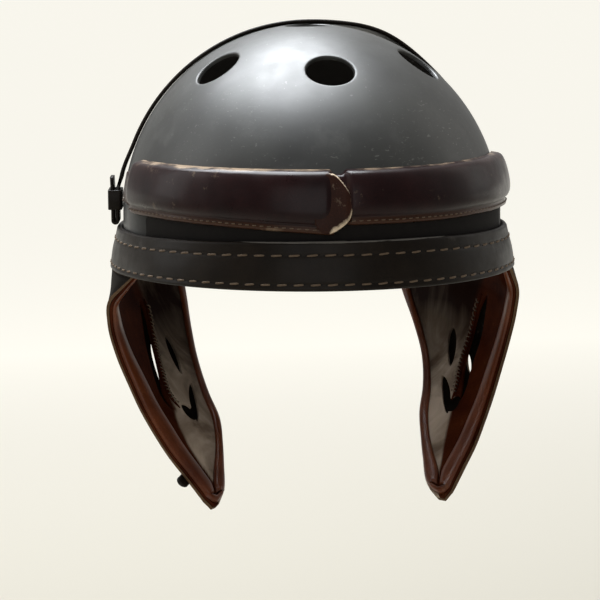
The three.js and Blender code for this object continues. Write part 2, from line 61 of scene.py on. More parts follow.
# Band: the stand-off and height of its section's points, from its top edge, its foot and the floor
BAND_FRONT = 26.0
BAND_SIDE = 23.0
BAND_FLARE = 4.4
BAND_STAND = 3.3
BAND_STEPS = 360
BAND_FACE_STEPS = 33
BAND_SWAY = 0.25
BAND_TOP = [(0.35, -1.0), (0.7, -0.25), (1.4, 0.0), (2.4, 0.0), (3.0, -0.35)]
BAND_FOOT = [(-0.2, 0.75), (-0.75, 0.2), (-1.5, 0.0)]
BAND_INSIDE = [
    (0.0, 0.0), (-4.4, 0.0), (-5.2, 0.25), (-5.5, 0.9), (-5.5, 7.0), (-5.4, 13.2), (-4.9, 13.9),
    (-3.8, 13.9), (-3.35, 13.3), (-3.35, 8.0), (-3.35, 2.9), (0.35, 2.9),
]
UPPER_ROW = 0.725
LOWER_ROW = 0.135
GROOVE_DEPTH = 0.32
GROOVE_WIDTH = 0.75
BAND_SWELL = 0.28

# Bumper
PAD_BOTTOM = 34.5
PAD_HEIGHT = 28.5
PAD_THICK = 6.6
PAD_SEAT = 0.48
PAD_REACH = math.radians(79)
PAD_STEPS = 150
TAB_REACH = math.radians(87)
TAB_HEIGHT = 17.0
TAB_LEATHER = 2.2
LAP_END = 2.0 / HALF_WIDTH
SEAM = LAP_END - 9.0 / HALF_WIDTH
LAP_DROOP = 5.0
LAP_STAND = 4.42
WELT_HEIGHT = 3.9
WELT_STEPS = 299
PAD_SWAY = 0.25
PAD_PUFF = 0.03
RIGHT_SEED = 11
LEFT_SEED = 21
LAP_STEPS = 33
# The pillow over the welt: stand-off as a share of the thickness, and height as a share
PILLOW = [
    (0.50, 0.02), (0.70, 0.06), (0.88, 0.14), (0.98, 0.25), (1.03, 0.38), (1.05, 0.55), (1.04, 0.72),
    (1.00, 0.84), (0.91, 0.925), (0.76, 0.968), (0.50, 0.988), (0.20, 0.997),
]
# The tongue's edges: millimetres from its end, then millimetres down from the padding's top
LAP_LENGTH = 19.0
LAP_TOP = (
    (0.0, 0.5, 1.4, 3.0, 4.5, 6.5, 8.5, 12.0, 19.0),
    (15.5, 13.2, 10.8, 8.0, 5.9, 3.3, 1.8, 1.2, 2.4),
)
LAP_LOW = (
    (0.0, 0.5, 1.4, 3.0, 4.5, 6.5, 8.5, 12.0, 15.0, 17.0, 19.0),
    (21.0, 23.4, 25.6, 27.5, 28.9, 30.5, 31.8, 33.2, 32.8, 31.0, 28.0),
)

# Levels between which finishes change, in millimetres above the rim
SCUFFS_NONE = 115
SCUFFS_FULL = 85
# The rear panels' painted shade fades out between these two levels
PANEL_DARK = -30
PANEL_PALE = -86

# Strap and loops
STRAP_BACK = 22.0
STRAP_WIDTH = 18.0
STRAP_LEATHER = 2.0
STRAP_TAIL = 24.0
STRAP_STEPS = 121
SLACK_RISE = 2.6
SLACK_AT = 24
SLACK_SPAN = 13
FOOT_SPAN = 11
LOOP_LEATHER = 1.3
LOOP_BOTTOM = BAND_SIDE + 9.0
LOOP_HEIGHT = 11.0
LOOP_TOP = LOOP_BOTTOM + LOOP_HEIGHT
LOOP_EASE = 0.3
STRAP_SHARE = math.sqrt(1 - (STRAP_BACK / HALF_DEPTH) ** 2)
STRAP_REACH = math.degrees(math.acos((LOOP_TOP + 6.0 - WIDEST) / (RISE * STRAP_SHARE)))
STRAP_SEAT = GAP + STRAP_LEATHER / 2
FOOT_STAND = LOOP_LEATHER + GAP

# Ear flaps
FLAP_DROP = 125.5
FLAP_WIDTH = 115.0
FLAP_FORWARD = 54.0
FLAP_BACK = 106.0
FLAP_LEATHER = 1.8
FLAP_TWIST = 7.5
FLAP_ROWS = 64
FLAP_COLUMNS = 44
LINING_LEATHER = 1.5
LINING_FACE = -GAP * 0.5 - LINING_LEATHER
HEM_WIDTH = 12.0
HEM_LEATHER = 2.5
HEM_STEPS = 14
TIP_FROM = 0.962
ROLL_WIDTH = 3.0
ROLL_HEIGHT = 1.8
ROLL_STEPS = 12
SLOT_WIDTH = 9.0
SLOT_SHIFT = 0.03
SLOT_STEPS = 60
SLOT_CLEAR = 1.3
CHART_WIDTH = 100.0
STUB_WIDTH = 7.0
STUB_LEATHER = 2.4
STUB_LENGTH = 27.0

# Sections of an ear flap from the rim down: drop, then front, middle and rear as a share out and
# a share back (or, below zero, forward).
FLAP_SECTIONS = [
    (0.0, (0.9, -0.7), (0.905, 0.32), (0.54, 0.99)),
    (0.061, (0.943, -0.46), (0.9, 0.36), (0.548, 1.0)),
    (0.122, (0.983, -0.22), (0.88, 0.41), (0.557, 0.99)),
    (0.229, (0.987, -0.07), (0.84, 0.42), (0.565, 0.935)),
    (0.366, (0.952, -0.06), (0.803, 0.385), (0.574, 0.775)),
    (0.496, (0.9, -0.15), (0.754, 0.255), (0.57, 0.55)),
    (0.611, (0.848, -0.26), (0.71, 0.12), (0.54, 0.34)),
    (0.702, (0.796, -0.41), (0.662, -0.01), (0.5, 0.16)),
    (0.794, (0.735, -0.58), (0.623, -0.26), (0.492, 0.0)),
    (0.878, (0.665, -0.75), (0.585, -0.5), (0.492, -0.3)),
    (0.955, (0.603, -0.9), (0.553, -0.74), (0.496, -0.6)),
    (1.0, (0.568, -1.0), (0.545, -0.93), (0.515, -0.83)),
]
# The stitched ridge behind the main ear slot, as shares across and of the drop, on each side
RIDGES = {
    -1: [
        (0.60, 0.19), (0.595, 0.214), (0.553, 0.321), (0.522, 0.385),
        (0.468, 0.463), (0.42, 0.545), (0.44, 0.6), (0.50, 0.64),
    ],
    1: [
        (0.42, 0.19), (0.434, 0.249), (0.462, 0.38), (0.512, 0.474),
        (0.537, 0.537), (0.552, 0.592), (0.585, 0.65),
    ],
}
# The other ear slots: a path as shares across and of the drop, then a share of the slot width
LEAF_SLOTS = [
    ([(0.68, 0.36), (0.7, 0.52)], 0.85),
    ([(0.51, 0.635), (0.66, 0.685)], 0.8),
    ([(0.63, 0.70), (0.79, 0.56)], 0.65),
]
# The one slot that goes on through the outer leather, on each side
SKIN_SLOTS = {
    -1: [([(0.555, 0.365), (0.532, 0.40), (0.482, 0.475), (0.440, 0.545), (0.424, 0.57)], 0.88)],
    1: [([(0.505, 0.45), (0.43, 0.53)], 0.42)],
}
# Where across the flap its rear panel starts: drops, then shares across, on each side
REAR_LINES = {
    -1: (
        (0.0, 0.214, 0.321, 0.385, 0.463, 0.541, 0.6, 0.64, 0.66, 0.7, 0.775, 0.855, 0.934, 1.0),
        (0.62, 0.586, 0.539, 0.506, 0.451, 0.4, 0.41, 0.42, 0.36, 0.33, 0.337, 0.404, 0.585, 0.8),
    ),
    1: (
        (0.0, 0.249, 0.38, 0.474, 0.537, 0.592, 0.66, 0.688, 0.8, 0.92, 1.0),
        (0.4, 0.434, 0.462, 0.512, 0.537, 0.548, 0.56, 0.53, 0.55, 0.52, 0.6),
    ),
}
# Where each chin strap end starts and points to, as shares across and of the drop
STUBS = {-1: ((0.5, 0.84), (0.0, 0.875)), 1: ((0.5, 0.84), (0.3, 1.0))}


def lerp(a, b, t):
    return a + (b - a) * t


def smooth(t):
    t = np.clip(t, 0.0, 1.0)
    return t * t * (3 - 2 * t)


def waves(x, seed, amount):
    """A gentle, seeded irregularity along a length, for hand-worked leather."""
    rng = np.random.RandomState(seed)
    total = 0.0
    for k in range(1, 6):
        total = total + math.sin(x * k * rng.uniform(0.7, 1.3) + rng.uniform(0, 6.28)) / k
    return amount * total / 2


def unit(vector):
    return vector / np.linalg.norm(vector)


def hand(side):
    return "left" if side > 0 else "right"


def make_piece(name, points, faces, materials, face_slots=None, attributes=None):
    """A smooth piece from points in millimetres, with its faces turned outwards."""
    mesh = bpy.data.meshes.new(name)
    mesh.from_pydata([tuple(float(c) * MM for c in p) for p in points], [], faces)
    for material in materials:
        mesh.materials.append(material)
    mesh.polygons.foreach_set("use_smooth", [True] * len(mesh.polygons))
    if face_slots is not None:
        mesh.polygons.foreach_set("material_index", face_slots)
    for key, values in (attributes or {}).items():
        layer = mesh.attributes.new(key, "FLOAT", "POINT")
        layer.data.foreach_set("value", np.asarray(values, dtype=np.float32))
    mesh.validate()
    mesh.update()
    bm = bmesh.new()
    bm.from_mesh(mesh)
    bmesh.ops.delete(bm, geom=[v for v in bm.verts if not v.link_faces], context="VERTS")
    bmesh.ops.recalc_face_normals(bm, faces=bm.faces)
    bm.to_mesh(mesh)
    bm.free()
    piece = bpy.data.objects.new(name, mesh)
    bpy.context.scene.collection.objects.link(piece)
    return piece


def bridge(one, two):
    """Faces between two closed rings of point numbers."""
    count = len(one)
    return [(one[i], one[(i + 1) % count], two[(i + 1) % count], two[i]) for i in range(count)]


def bridges(rings):
    return [face for one, two in zip(rings, rings[1:]) for face in bridge(one, two)]


def loft_piece(name, rings, leather, closed=False, **attributes):
    """A piece through rings of equal count, closed on itself or capped at both ends."""
    count = len(rings[0])
    ids = [range(r * count, (r + 1) * count) for r in range(len(rings))]
    if closed:
        faces = bridges([*ids, ids[0]])
    else:
        faces = bridges(ids) + [tuple(ids[0])[::-1], tuple(ids[-1])]
    points = [p for ring in rings for p in ring]
    return make_piece(name, points, faces, [leather], attributes=attributes)


def bevel(piece, width, segments=2, angle=50):
    modifier = piece.modifiers.new("eased edges", "BEVEL")
    modifier.width = width * MM
    modifier.segments = segments
    modifier.limit_method = "ANGLE"
    modifier.angle_limit = math.radians(angle)
    bake(piece)


def bake(piece):
    """Turns what the modifiers make into the piece's own mesh."""
    depsgraph = bpy.context.evaluated_depsgraph_get()
    made = bpy.data.meshes.new_from_object(piece.evaluated_get(depsgraph))
    piece.modifiers.clear()
    piece.data = made


def spline(knots, count, closed=False, fineness=12):
    """Evenly spaced points of a smooth curve through knots."""
    knots = np.asarray(knots, dtype=float)
    n = len(knots)
    fine = []
    for i in range(n if closed else n - 1):
        near = [(i + k) % n if closed else min(max(i + k, 0), n - 1) for k in (-1, 0, 1, 2)]
        a, b, c, d = knots[near]
        for s in range(fineness):
            t = s / fineness
            fine.append(
                0.5 * (
                    2 * b + (c - a) * t + (2 * a - 5 * b + 4 * c - d) * t * t
                    + (3 * b - a - 3 * c + d) * t**3
                )
            )
    fine.append(knots[0] if closed else knots[-1])
    fine = np.array(fine)
    length = np.concatenate([[0], np.cumsum(np.linalg.norm(np.diff(fine, axis=0), axis=1))])
    at = np.linspace(0, length[-1], count + 1 if closed else count)
    out = np.stack([np.interp(at, length, fine[:, k]) for k in range(knots.shape[1])], axis=1)
    return out[:-1] if closed else out


def dome_share(z):
    climb = min(max((z - WIDEST) / RISE, 0.0), 1.0)
    return math.sqrt(1 - climb * climb)


def off_dome(azimuth, z, out):
    """A point that stands off the dome. Azimuth 0 is the front, and it grows to the wearer's left."""
    share = dome_share(z)
    across, along = HALF_WIDTH * share + out, HALF_DEPTH * share + out
    return np.array([across * math.sin(azimuth), -along * math.cos(azimuth), z])


def dome_point(polar, around):
    across = HALF_WIDTH * math.sin(polar) * math.sin(around)
    along = -HALF_DEPTH * math.sin(polar) * math.cos(around)
    return np.array([across, along, WIDEST + RISE * math.cos(polar)])


def dome_normal(point):
    x, y, z = point
    return unit(np.array([x / HALF_WIDTH**2, y / HALF_DEPTH**2, max(z - WIDEST, 0) / RISE**2]))


def vent_places():
    places = [dome_point(0, 0)]
    for i in range(VENT_COUNT):
        azimuth = 2 * math.pi * i / VENT_COUNT
        around = math.atan2(math.sin(azimuth) * HALF_DEPTH, math.cos(azimuth) * HALF_WIDTH)
        places.append(dome_point(VENT_POLAR, around))
    return places


def vent_ring(centre, radius):
    """Points of the dome at a distance from a vent's axis."""
    n = dome_normal(centre)
    side = unit(np.cross(n, [0.0, 1.0, 0.0]))
    up = np.cross(side, n)
    scale = np.array([HALF_WIDTH, HALF_DEPTH, RISE])
    ring = []
    for k in range(VENT_STEPS):
        t = 2 * math.pi * k / VENT_STEPS
        start = (centre + radius * (math.cos(t) * side + math.sin(t) * up) - [0, 0, WIDEST]) / scale
        step = n / scale
        a, b, c = step @ step, 2 * start @ step, start @ start - 1
        s = (-b + math.sqrt(max(b * b - 4 * a * c, 0))) / (2 * a)
        ring.append((start + s * step) * scale + [0, 0, WIDEST])
    return ring


def flatten(point):
    """Where a point of the dome lies on a flat chart round the apex."""
    polar = math.acos(min(1.0, max(-1.0, (point[2] - WIDEST) / RISE)))
    around = math.atan2(point[0] / HALF_WIDTH, -point[1] / HALF_DEPTH)
    return (polar * math.sin(around), polar * math.cos(around))


def near_vent(point, centres, clear):
    return any(np.linalg.norm(point - centre) < VENT_RADIUS + clear for centre in centres)


def dome_surface(centres):
    """The outer face's points, an even grid and rings round each vent, and the vents' own rims."""
    surface, rims = [], []
    for k in range(1, DOME_RINGS + 1):
        polar = k / DOME_RINGS * math.pi / 2
        for i in range(6 * k):
            point = dome_point(polar, 2 * math.pi * i / (6 * k))
            if k == DOME_RINGS:
                point[2] = WIDEST
            elif near_vent(point, centres, VENT_LIP + VENT_CLEAR):
                continue
            surface.append(point)
    for centre in centres:
        rims.append(range(len(surface), len(surface) + VENT_STEPS))
        for grow in (0.0, 0.9, 2.2, 4.0):
            surface += vent_ring(centre, VENT_RADIUS + VENT_LIP + grow)
    return surface, rims


def make_dome(fibre, lining):
    """A smooth fibre shell with round-edged vents, built as one grid with the vents in it."""
    centres = vent_places()
    surface, rims = dome_surface(centres)
    normals = [dome_normal(p) for p in surface]
    chart = [Vector(flatten(p)) for p in surface]
    edges = [(rim[i], rim[(i + 1) % len(rim)]) for rim in rims for i in range(len(rim))]
    _, _, tris, source, _, _ = delaunay_2d_cdt(chart, edges, [], 0, 1e-7)
    inner = len(surface)
    points = surface + [p - n * WALL for p, n in zip(surface, normals)]
    faces = []
    for tri in tris:
        a, b, c = (source[v][0] for v in tri)
        if near_vent((points[a] + points[b] + points[c]) / 3, centres, VENT_LIP * 0.7):
            continue
        if np.cross(points[b] - points[a], points[c] - points[a]) @ normals[a] < 0:
            b, c = c, b
        faces += [(a, b, c), (inner + a, inner + c, inner + b)]
    # The vents' rounded rims, from the outside through to the inside
    for centre, rim in zip(centres, rims):
        axis = dome_normal(centre)
        rings = [rim]
        for step, outside in zip((1, 2, 3, 4, 4, 3, 2, 1), [True] * 4 + [False] * 4):
            turn = step / 4 * math.pi / 2
            depth = VENT_LIP * (1 - math.cos(turn))
            depth = depth if outside else WALL - depth
            rings.append(range(len(points), len(points) + len(rim)))
            for k in rim:
                away = surface[k] - centre
                radial = unit(away - (away @ axis) * axis)
                points.append(surface[k] - radial * VENT_LIP * math.sin(turn) - normals[k] * depth)
        faces += bridges([*rings, [inner + k for k in rim]])
    # The short wall below the widest level, round the foot and up inside
    border = [k for k in range(inner) if abs(surface[k][2] - WIDEST) < 1e-6]
    border.sort(key=lambda k: math.atan2(*flatten(surface[k])))
    walls = [border]
    down = [(0, 22), (0, 15), (0, 8), (0, FOOT + FOOT_EASE), (FOOT_EASE, FOOT)]
    for inset, z in down + [(WALL - inset, z) for inset, z in down[::-1]]:
        walls.append(range(len(points), len(points) + len(border)))
        points += [np.array([*(surface[k] - normals[k] * inset)[:2], z]) for k in border]
    faces += bridges([*walls, [inner + k for k in border]])
    piece = make_piece("fibre_dome", points, faces, [fibre, lining])
    # Slot 1 is the dull black: the inside, and painted shade on the outer faces between the band and the
    # front padding.
    inward, painted_shade_top, painted_shade_front = 1 - 0.55 * WALL / HALF_WIDTH, PAD_BOTTOM + 6, -0.36 * HALF_DEPTH
    for face in piece.data.polygons:
        x, y, z = face.center / MM
        reach = math.sqrt((x / HALF_WIDTH) ** 2 + (y / HALF_DEPTH) ** 2 + (max(z - WIDEST, 0) / RISE) ** 2)
        face.material_index = int(reach < inward or (z < painted_shade_top and y < painted_shade_front))
    return piece


def band_top(azimuth):
    return lerp(BAND_SIDE, BAND_FRONT, math.cos(azimuth) ** 2) + waves(azimuth * 3, 5, BAND_SWAY)


def band_offset(azimuth, share):
    """Stand-off of the band's outer face at a share of its height."""
    flare = np.interp(share, [0, 0.45, 1], [BAND_FLARE, 0.6 * BAND_FLARE, 0.0])
    return BAND_STAND + float(flare) + waves(azimuth * 2, 3, 0.22) * (1 - share)


def make_band(leather):
    """One strip of leather folded round the dome's edge, with a groove under each stitch row."""
    rings = []
    for i in range(BAND_STEPS):
        az = 2 * math.pi * i / BAND_STEPS
        top = band_top(az)
        ring = [(out, top + z) for out, z in BAND_TOP]
        for share in [lerp(0.955, 0.06, k / BAND_FACE_STEPS) for k in range(BAND_FACE_STEPS + 1)]:
            rows = [((share - row) * top / GROOVE_WIDTH) ** 2 for row in (UPPER_ROW, LOWER_ROW)]
            groove = sum(GROOVE_DEPTH * math.exp(-row) for row in rows)
            between = min(max((share - LOWER_ROW) / (UPPER_ROW - LOWER_ROW), 0), 1)
            swell = BAND_SWELL * math.sin(math.pi * between)
            ring.append((band_offset(az, share) - groove + swell, share * top))
        ring += [(band_offset(az, 0) + out, z) for out, z in BAND_FOOT]
        rings.append([off_dome(az, z, out) for out, z in ring + BAND_INSIDE])
    return loft_piece("edge_band", rings, leather, closed=True)


def pad_ring(az, bottom, height, thick, low=0.0, high=0.0):
    """One closed section of the padding. low and high draw the pillow in at a rounded corner."""
    lowest, top = WELT_HEIGHT + low, height - high
    knots = [(0.0, 0.35), (0.26, 0.0), (0.40, 0.05), (0.47, 0.6), (0.48, 1.8)]
    knots += [(0.46, lowest - 1.0), (0.40, lowest - 0.2), (0.36, lowest + 0.1)]
    knots += [(out, lerp(lowest, top, share)) for out, share in PILLOW]
    knots += [(0.0, top - 0.6), (0.0, top * 0.66), (0.0, top * 0.33)]
    ring = spline(knots, 60, closed=True)
    return [off_dome(az, bottom + z, PAD_SEAT + max(0.0, out) * thick) for out, z in ring]


def welt_share(rings):
    """1 on the welt and 0 on the pillow, for each point of the sections."""
    shares = []
    for ring in rings:
        lowest = min(p[2] for p in ring)
        shares += [float(smooth((WELT_HEIGHT + 0.3 - (p[2] - lowest)) / 0.8)) for p in ring]
    return shares


def rounded(from_end, radius):
    """How far a corner of this radius draws in, at a distance from the end."""
    left = 1 - min(1.0, max(0.0, from_end) / radius)
    return radius * (1 - math.sqrt(1 - left * left))


def pad_bottom(az, droop, front):
    along = min(max((az - front) / (PAD_REACH - front), 0), 1)
    return PAD_BOTTOM - droop * (1 - along) ** 2


def pad_rings(front, section):
    """A length's sections from its front end to its rear tab, thinner and lower at the rear."""
    rings = []
    for i in range(PAD_STEPS + 1):
        az = lerp(front, PAD_REACH, (i / PAD_STEPS) ** 1.25)
        from_rear = (PAD_REACH - az) * HALF_DEPTH
        full = 0.5 + 0.5 * math.sqrt(min(1.0, from_rear / 7.0))
        shrink = 1 - 0.1 * (1 - smooth(from_rear / 8))
        rings.append(section(az, (az - front) * HALF_WIDTH, full, shrink))
    low = PAD_BOTTOM + (PAD_HEIGHT - TAB_HEIGHT) / 3
    for share in (0.1, 0.5, 1.0):
        rings.append(flat_ring(lerp(PAD_REACH, TAB_REACH, share), low, TAB_HEIGHT, PAD_SEAT, TAB_LEATHER))
    return rings


def flat_ring(az, bottom, height, inner, thick):
    """A section of flat leather with rounded edges."""
    r = min(0.9, height / 2.5)
    knots = [
        (0, r), (0.25, r * 0.3), (0.55, 0), (0.9, r * 0.4), (1.0, r * 1.2), (0.96, height * 0.3),
        (0.93, height * 0.5), (0.96, height * 0.7), (1.0, height - r * 1.2), (0.9, height - r * 0.4),
        (0.55, height), (0.25, height - r * 0.3), (0, height - r), (0, height * 0.66), (0, height * 0.33),
    ]
    ring = spline(knots, 56, closed=True)
    return [off_dome(az, bottom + z, inner + max(0.0, out) * thick) for out, z in ring]


def mirrored(rings):
    return [[p * [-1, 1, 1] for p in ring] for ring in rings]


def make_right_pad(leather):
    """The wearer's right length: its front end is rounded, and its lower edge droops there."""
    front = -SEAM

    def section(az, from_front, full, shrink):
        end = 0.52 + 0.48 * math.sqrt(1 - (1 - min(1.0, from_front / 5.0)) ** 2)
        bottom = pad_bottom(az, LAP_DROOP, front)
        height = PAD_BOTTOM + PAD_HEIGHT - bottom
        low = bottom + height * (1 - shrink) / 2 + waves(az * 6, RIGHT_SEED + 1, PAD_SWAY)
        thick = PAD_THICK * min(end, full) * (1 + waves(az * 9, RIGHT_SEED, PAD_PUFF))
        corners = rounded(from_front, 9.0), rounded(from_front, 2.2)
        return pad_ring(az, low, height * shrink, thick, *corners)

    rings = pad_rings(front, section)
    return loft_piece("bumper_pad_right", mirrored(rings), leather, welt=welt_share(rings))


def make_left_pad(leather):
    """The wearer's left length, whose front end lies thin under the other one's."""

    def section(az, from_front, full, shrink):
        under = 0.52 + 0.48 * smooth((from_front - 6.0) / 3.5)
        shrink = min(1 - 0.14 * (1 - smooth((from_front - 4.5) / 3.5)), shrink)
        puff = 1 + waves(az * 9, LEFT_SEED, PAD_PUFF) * smooth((from_front - 6) / 8)
        low = PAD_BOTTOM + PAD_HEIGHT * (1 - shrink) * 0.4 + waves(az * 6, LEFT_SEED + 1, PAD_SWAY)
        return pad_ring(az, low, PAD_HEIGHT * shrink, PAD_THICK * min(under, full) * puff)

    rings = pad_rings(SEAM + GAP / HALF_WIDTH, section)
    return loft_piece("bumper_pad_left", rings, leather, welt=welt_share(rings))


def make_tongue(leather):
    """The flat tongue that laps over the left length. Its edges draw in towards its end."""
    rings, wear = [], []
    top_level = PAD_BOTTOM + PAD_HEIGHT
    for i in range(LAP_STEPS + 1):
        from_end = LAP_LENGTH * (1 - i / LAP_STEPS) ** 1.6
        top, low = (top_level - float(np.interp(from_end, *edge)) for edge in (LAP_TOP, LAP_LOW))
        thick = lerp(1.7, 2.1, min(1.0, from_end / 3))
        rings.append(flat_ring(-LAP_END + from_end / HALF_WIDTH, low, top - low, LAP_STAND, thick))
        for p in rings[-1]:
            edge = min((p[2] - low) / 7.0, (top - p[2]) / 2.0, from_end / 2.2)
            wear.append((1 - float(smooth(edge))) * (1 - float(smooth((from_end - 9.0) / 6.0))))
    return loft_piece("lap_tongue", mirrored(rings), leather, wear=wear)


def strap_point(angle, out):
    a = math.radians(angle)
    x = HALF_WIDTH * STRAP_SHARE * math.sin(a)
    z = RISE * STRAP_SHARE * math.cos(a)
    facing = unit(np.array([x / HALF_WIDTH**2, STRAP_BACK / HALF_DEPTH**2, z / RISE**2]))
    return np.array([x, STRAP_BACK, WIDEST + z]) + facing * out, facing


def strap_middle(angle):
    """A point of the strap's middle, which lifts off the dome at its feet and in one slack span."""
    rise = float(smooth((abs(angle) - (STRAP_REACH - FOOT_SPAN)) / FOOT_SPAN))
    slack = SLACK_RISE * math.exp(-(((angle - SLACK_AT) / SLACK_SPAN) ** 2))
    return strap_point(angle, STRAP_SEAT + (FOOT_STAND * rise + slack))


def strap_ring(centre, face, across, width, leather):
    e = leather * 0.34
    w, h = width / 2, leather / 2
    half = [
        (-w, -h + e), (-w + e * 0.4, -h + e * 0.4), (-w + e, -h), (-w * 0.5, -h), (0, -h),
        (w * 0.5, -h), (w - e, -h), (w - e * 0.4, -h + e * 0.4), (w, -h + e),
    ]
    return [centre + across * a + face * b for a, b in half + [(-a, -b) for a, b in half]]


def strap_foot(side):
    centre, facing = strap_point(90 * side, 0)
    return centre, facing, np.cross([0, 0, 1.0], facing) * side


def strap_end(side):
    """Sections down through the keeper, round the turn and back up the outside."""
    centre, facing, across = strap_foot(side)
    stand = STRAP_SEAT + FOOT_STAND
    turn = (STRAP_LEATHER + GAP * 2) / 2
    low = BAND_SIDE + GAP * 2 + turn + STRAP_LEATHER / 2
    rings = []

    def put(z, reach, face):
        middle = centre + facing * reach
        middle[2] = z
        rings.append(strap_ring(middle, face, across, STRAP_WIDTH, STRAP_LEATHER))

    for z in np.linspace(LOOP_TOP + GAP, low, 8):
        put(z, stand, facing)
    for i in range(1, 13):
        a = i / 12 * math.pi
        face = facing * math.cos(a) + np.array([0, 0, math.sin(a)])
        put(low - turn * math.sin(a), stand + turn - turn * math.cos(a), unit(face))
    for share in np.linspace(0.1, 1, 9):
        put(low + STRAP_TAIL * share, stand + turn * lerp(2.0, 2.3, max(0, share - 0.6) / 0.4), -facing)
    return rings


def make_strap(leather):
    rings = strap_end(-1)[::-1]
    for angle in np.linspace(-STRAP_REACH, STRAP_REACH, STRAP_STEPS):
        centre, facing = strap_middle(angle)
        along = unit(strap_middle(angle + 0.5)[0] - centre)
        across = unit(np.cross(along, facing))
        rings.append(strap_ring(centre, np.cross(across, along), across, STRAP_WIDTH, STRAP_LEATHER))
    return loft_piece("crown_strap_leather", rings + strap_end(1), leather)


def make_loop(side, leather):
    """A leather keeper round the strap and its turned end."""
    centre, facing, across = strap_foot(side)
    depth = STRAP_SEAT + FOOT_STAND + STRAP_LEATHER * 1.5 + GAP * 2 + LOOP_LEATHER
    width = STRAP_WIDTH + (LOOP_LEATHER + GAP) * 2
    inner, top = LOOP_LEATHER - LOOP_EASE, LOOP_HEIGHT - LOOP_EASE
    rings = []
    for inset, radius, z in (
        (0, 1.5, LOOP_EASE), (0, 1.5, top), (LOOP_EASE, 1.3, LOOP_HEIGHT), (inner, 0.7, LOOP_HEIGHT),
        (LOOP_LEATHER, 0.6, top), (LOOP_LEATHER, 0.6, LOOP_EASE), (inner, 0.7, 0), (LOOP_EASE, 1.3, 0),
    ):
        x, near, far = width / 2 - inset - radius, GAP + inset + radius, GAP + depth - inset - radius
        ring = []
        for a, b, start in ((x, near, -90), (x, far, 0), (-x, far, 90), (-x, near, 180)):
            for turn in [math.radians(start + 15 * k) for k in range(7)]:
                p = centre + across * (a + radius * math.cos(turn)) + facing * (b + radius * math.sin(turn))
                p[2] = LOOP_BOTTOM + z
                ring.append(p)
        rings.append(ring)
    return loft_piece("keeper_" + hand(side), rings, leather, closed=True)


FLAP_DROPS = np.array([row[0] for row in FLAP_SECTIONS])


def edge_table(column):
    """Places and slopes of one of an ear flap's three lines, at each section."""
    rows = []
    for row in FLAP_SECTIONS:
        out, reach = row[column]
        rows.append((out * FLAP_WIDTH, reach * (FLAP_FORWARD if reach < 0 else FLAP_BACK)))
    values = np.array(rows)
    return values, np.gradient(values, FLAP_DROPS, axis=0)


FLAP_EDGES = [edge_table(k) for k in (1, 2, 3)]


def edge_at(table, drop):
    values, slopes = table
    i = int(min(max(np.searchsorted(FLAP_DROPS, drop) - 1, 0), len(FLAP_DROPS) - 2))
    h = FLAP_DROPS[i + 1] - FLAP_DROPS[i]
    t = (drop - FLAP_DROPS[i]) / h
    return (
        (2 * t**3 - 3 * t**2 + 1) * values[i] + (t**3 - 2 * t**2 + t) * h * slopes[i]
        + (-2 * t**3 + 3 * t**2) * values[i + 1] + (t**3 - t**2) * h * slopes[i + 1]
    )


def flap_point(side, across, drop):
    """A point of an ear flap, from its share across to the rear and down. Its tip is blunt."""
    low = (drop - TIP_FROM) / (1 - TIP_FROM)
    if low > 0:
        across = 0.5 + (across - 0.5) * max(0.5, math.sqrt(max(0.0, 1 - min(low, 1.0) ** 2)))
    front, middle, rear = (edge_at(table, min(max(drop, 0.0), 1.0)) for table in FLAP_EDGES)
    p = front * ((1 - across) * (1 - 2 * across)) + middle * (4 * across * (1 - across))
    p = p + rear * (across * (2 * across - 1))
    twist = FLAP_TWIST * math.sin(math.pi * min(max(drop, 0), 1)) * math.sqrt(max(0.0, across))
    return np.array([side * (p[0] + side * twist), p[1], -GAP - drop * FLAP_DROP])


def flap_facing(side, across, drop):
    s = 0.01
    low, inward = min(drop, 1 - s), min(max(across, 0), 1 - s)
    back = flap_point(side, inward + s, low) - flap_point(side, inward, low)
    down = flap_point(side, inward, low + s) - flap_point(side, inward, low)
    n = np.cross(down, back)
    n *= side / np.linalg.norm(n)
    n[2] *= min(1.0, max(0.0, drop) / FLAP_SECTIONS[2][0])
    return unit(n)


def flap_offset(side, across, drop, out):
    return flap_point(side, across, drop) + flap_facing(side, across, drop) * out


def flap_width(side, drop):
    return float(np.linalg.norm(flap_point(side, 0, drop) - flap_point(side, 1, drop)))


def ear_slots(side):
    """The slots of a flap's lining. The main one runs along the front of its ridge."""
    main = [(a - 0.5 * (ROLL_WIDTH + SLOT_WIDTH) / flap_width(side, d), d) for a, d in RIDGES[side]]
    leaves = [([(a - side * SLOT_SHIFT, d) for a, d in path], share) for path, share in LEAF_SLOTS]
    return [(main, 1.0), *leaves]


def leaf_outline(side, slot):
    """A slot that narrows to a point at both ends of its path."""
    path, share = slot
    scale = np.array([flap_width(side, (path[0][1] + path[-1][1]) / 2), FLAP_DROP])
    last = SLOT_STEPS
    line = spline(np.array(path) * scale, last + 1)
    outline = []
    for i in range(SLOT_STEPS):
        angle = 2 * math.pi * i / SLOT_STEPS
        at = (0.5 - 0.5 * math.cos(angle)) * last
        k = int(min(max(round(at), 1), last - 1))
        run = line[k + 1] - line[k - 1]
        normal = np.array([-run[1], run[0]]) / np.linalg.norm(run)
        here = line[int(at)] + (line[min(int(at) + 1, last)] - line[int(at)]) * (at - int(at))
        aside = share * SLOT_WIDTH / 2 * math.sin(angle) * abs(math.sin(angle)) ** 0.25
        outline.append(tuple((here + normal * aside) / scale))
    return outline


def inside(point, outline):
    x, y = point
    hit = False
    for i in range(len(outline)):
        (x1, y1), (x2, y2) = outline[i - 1], outline[i]
        if (y1 > y) != (y2 > y) and x < (x2 - x1) * (y - y1) / (y2 - y1) + x1:
            hit = not hit
    return hit


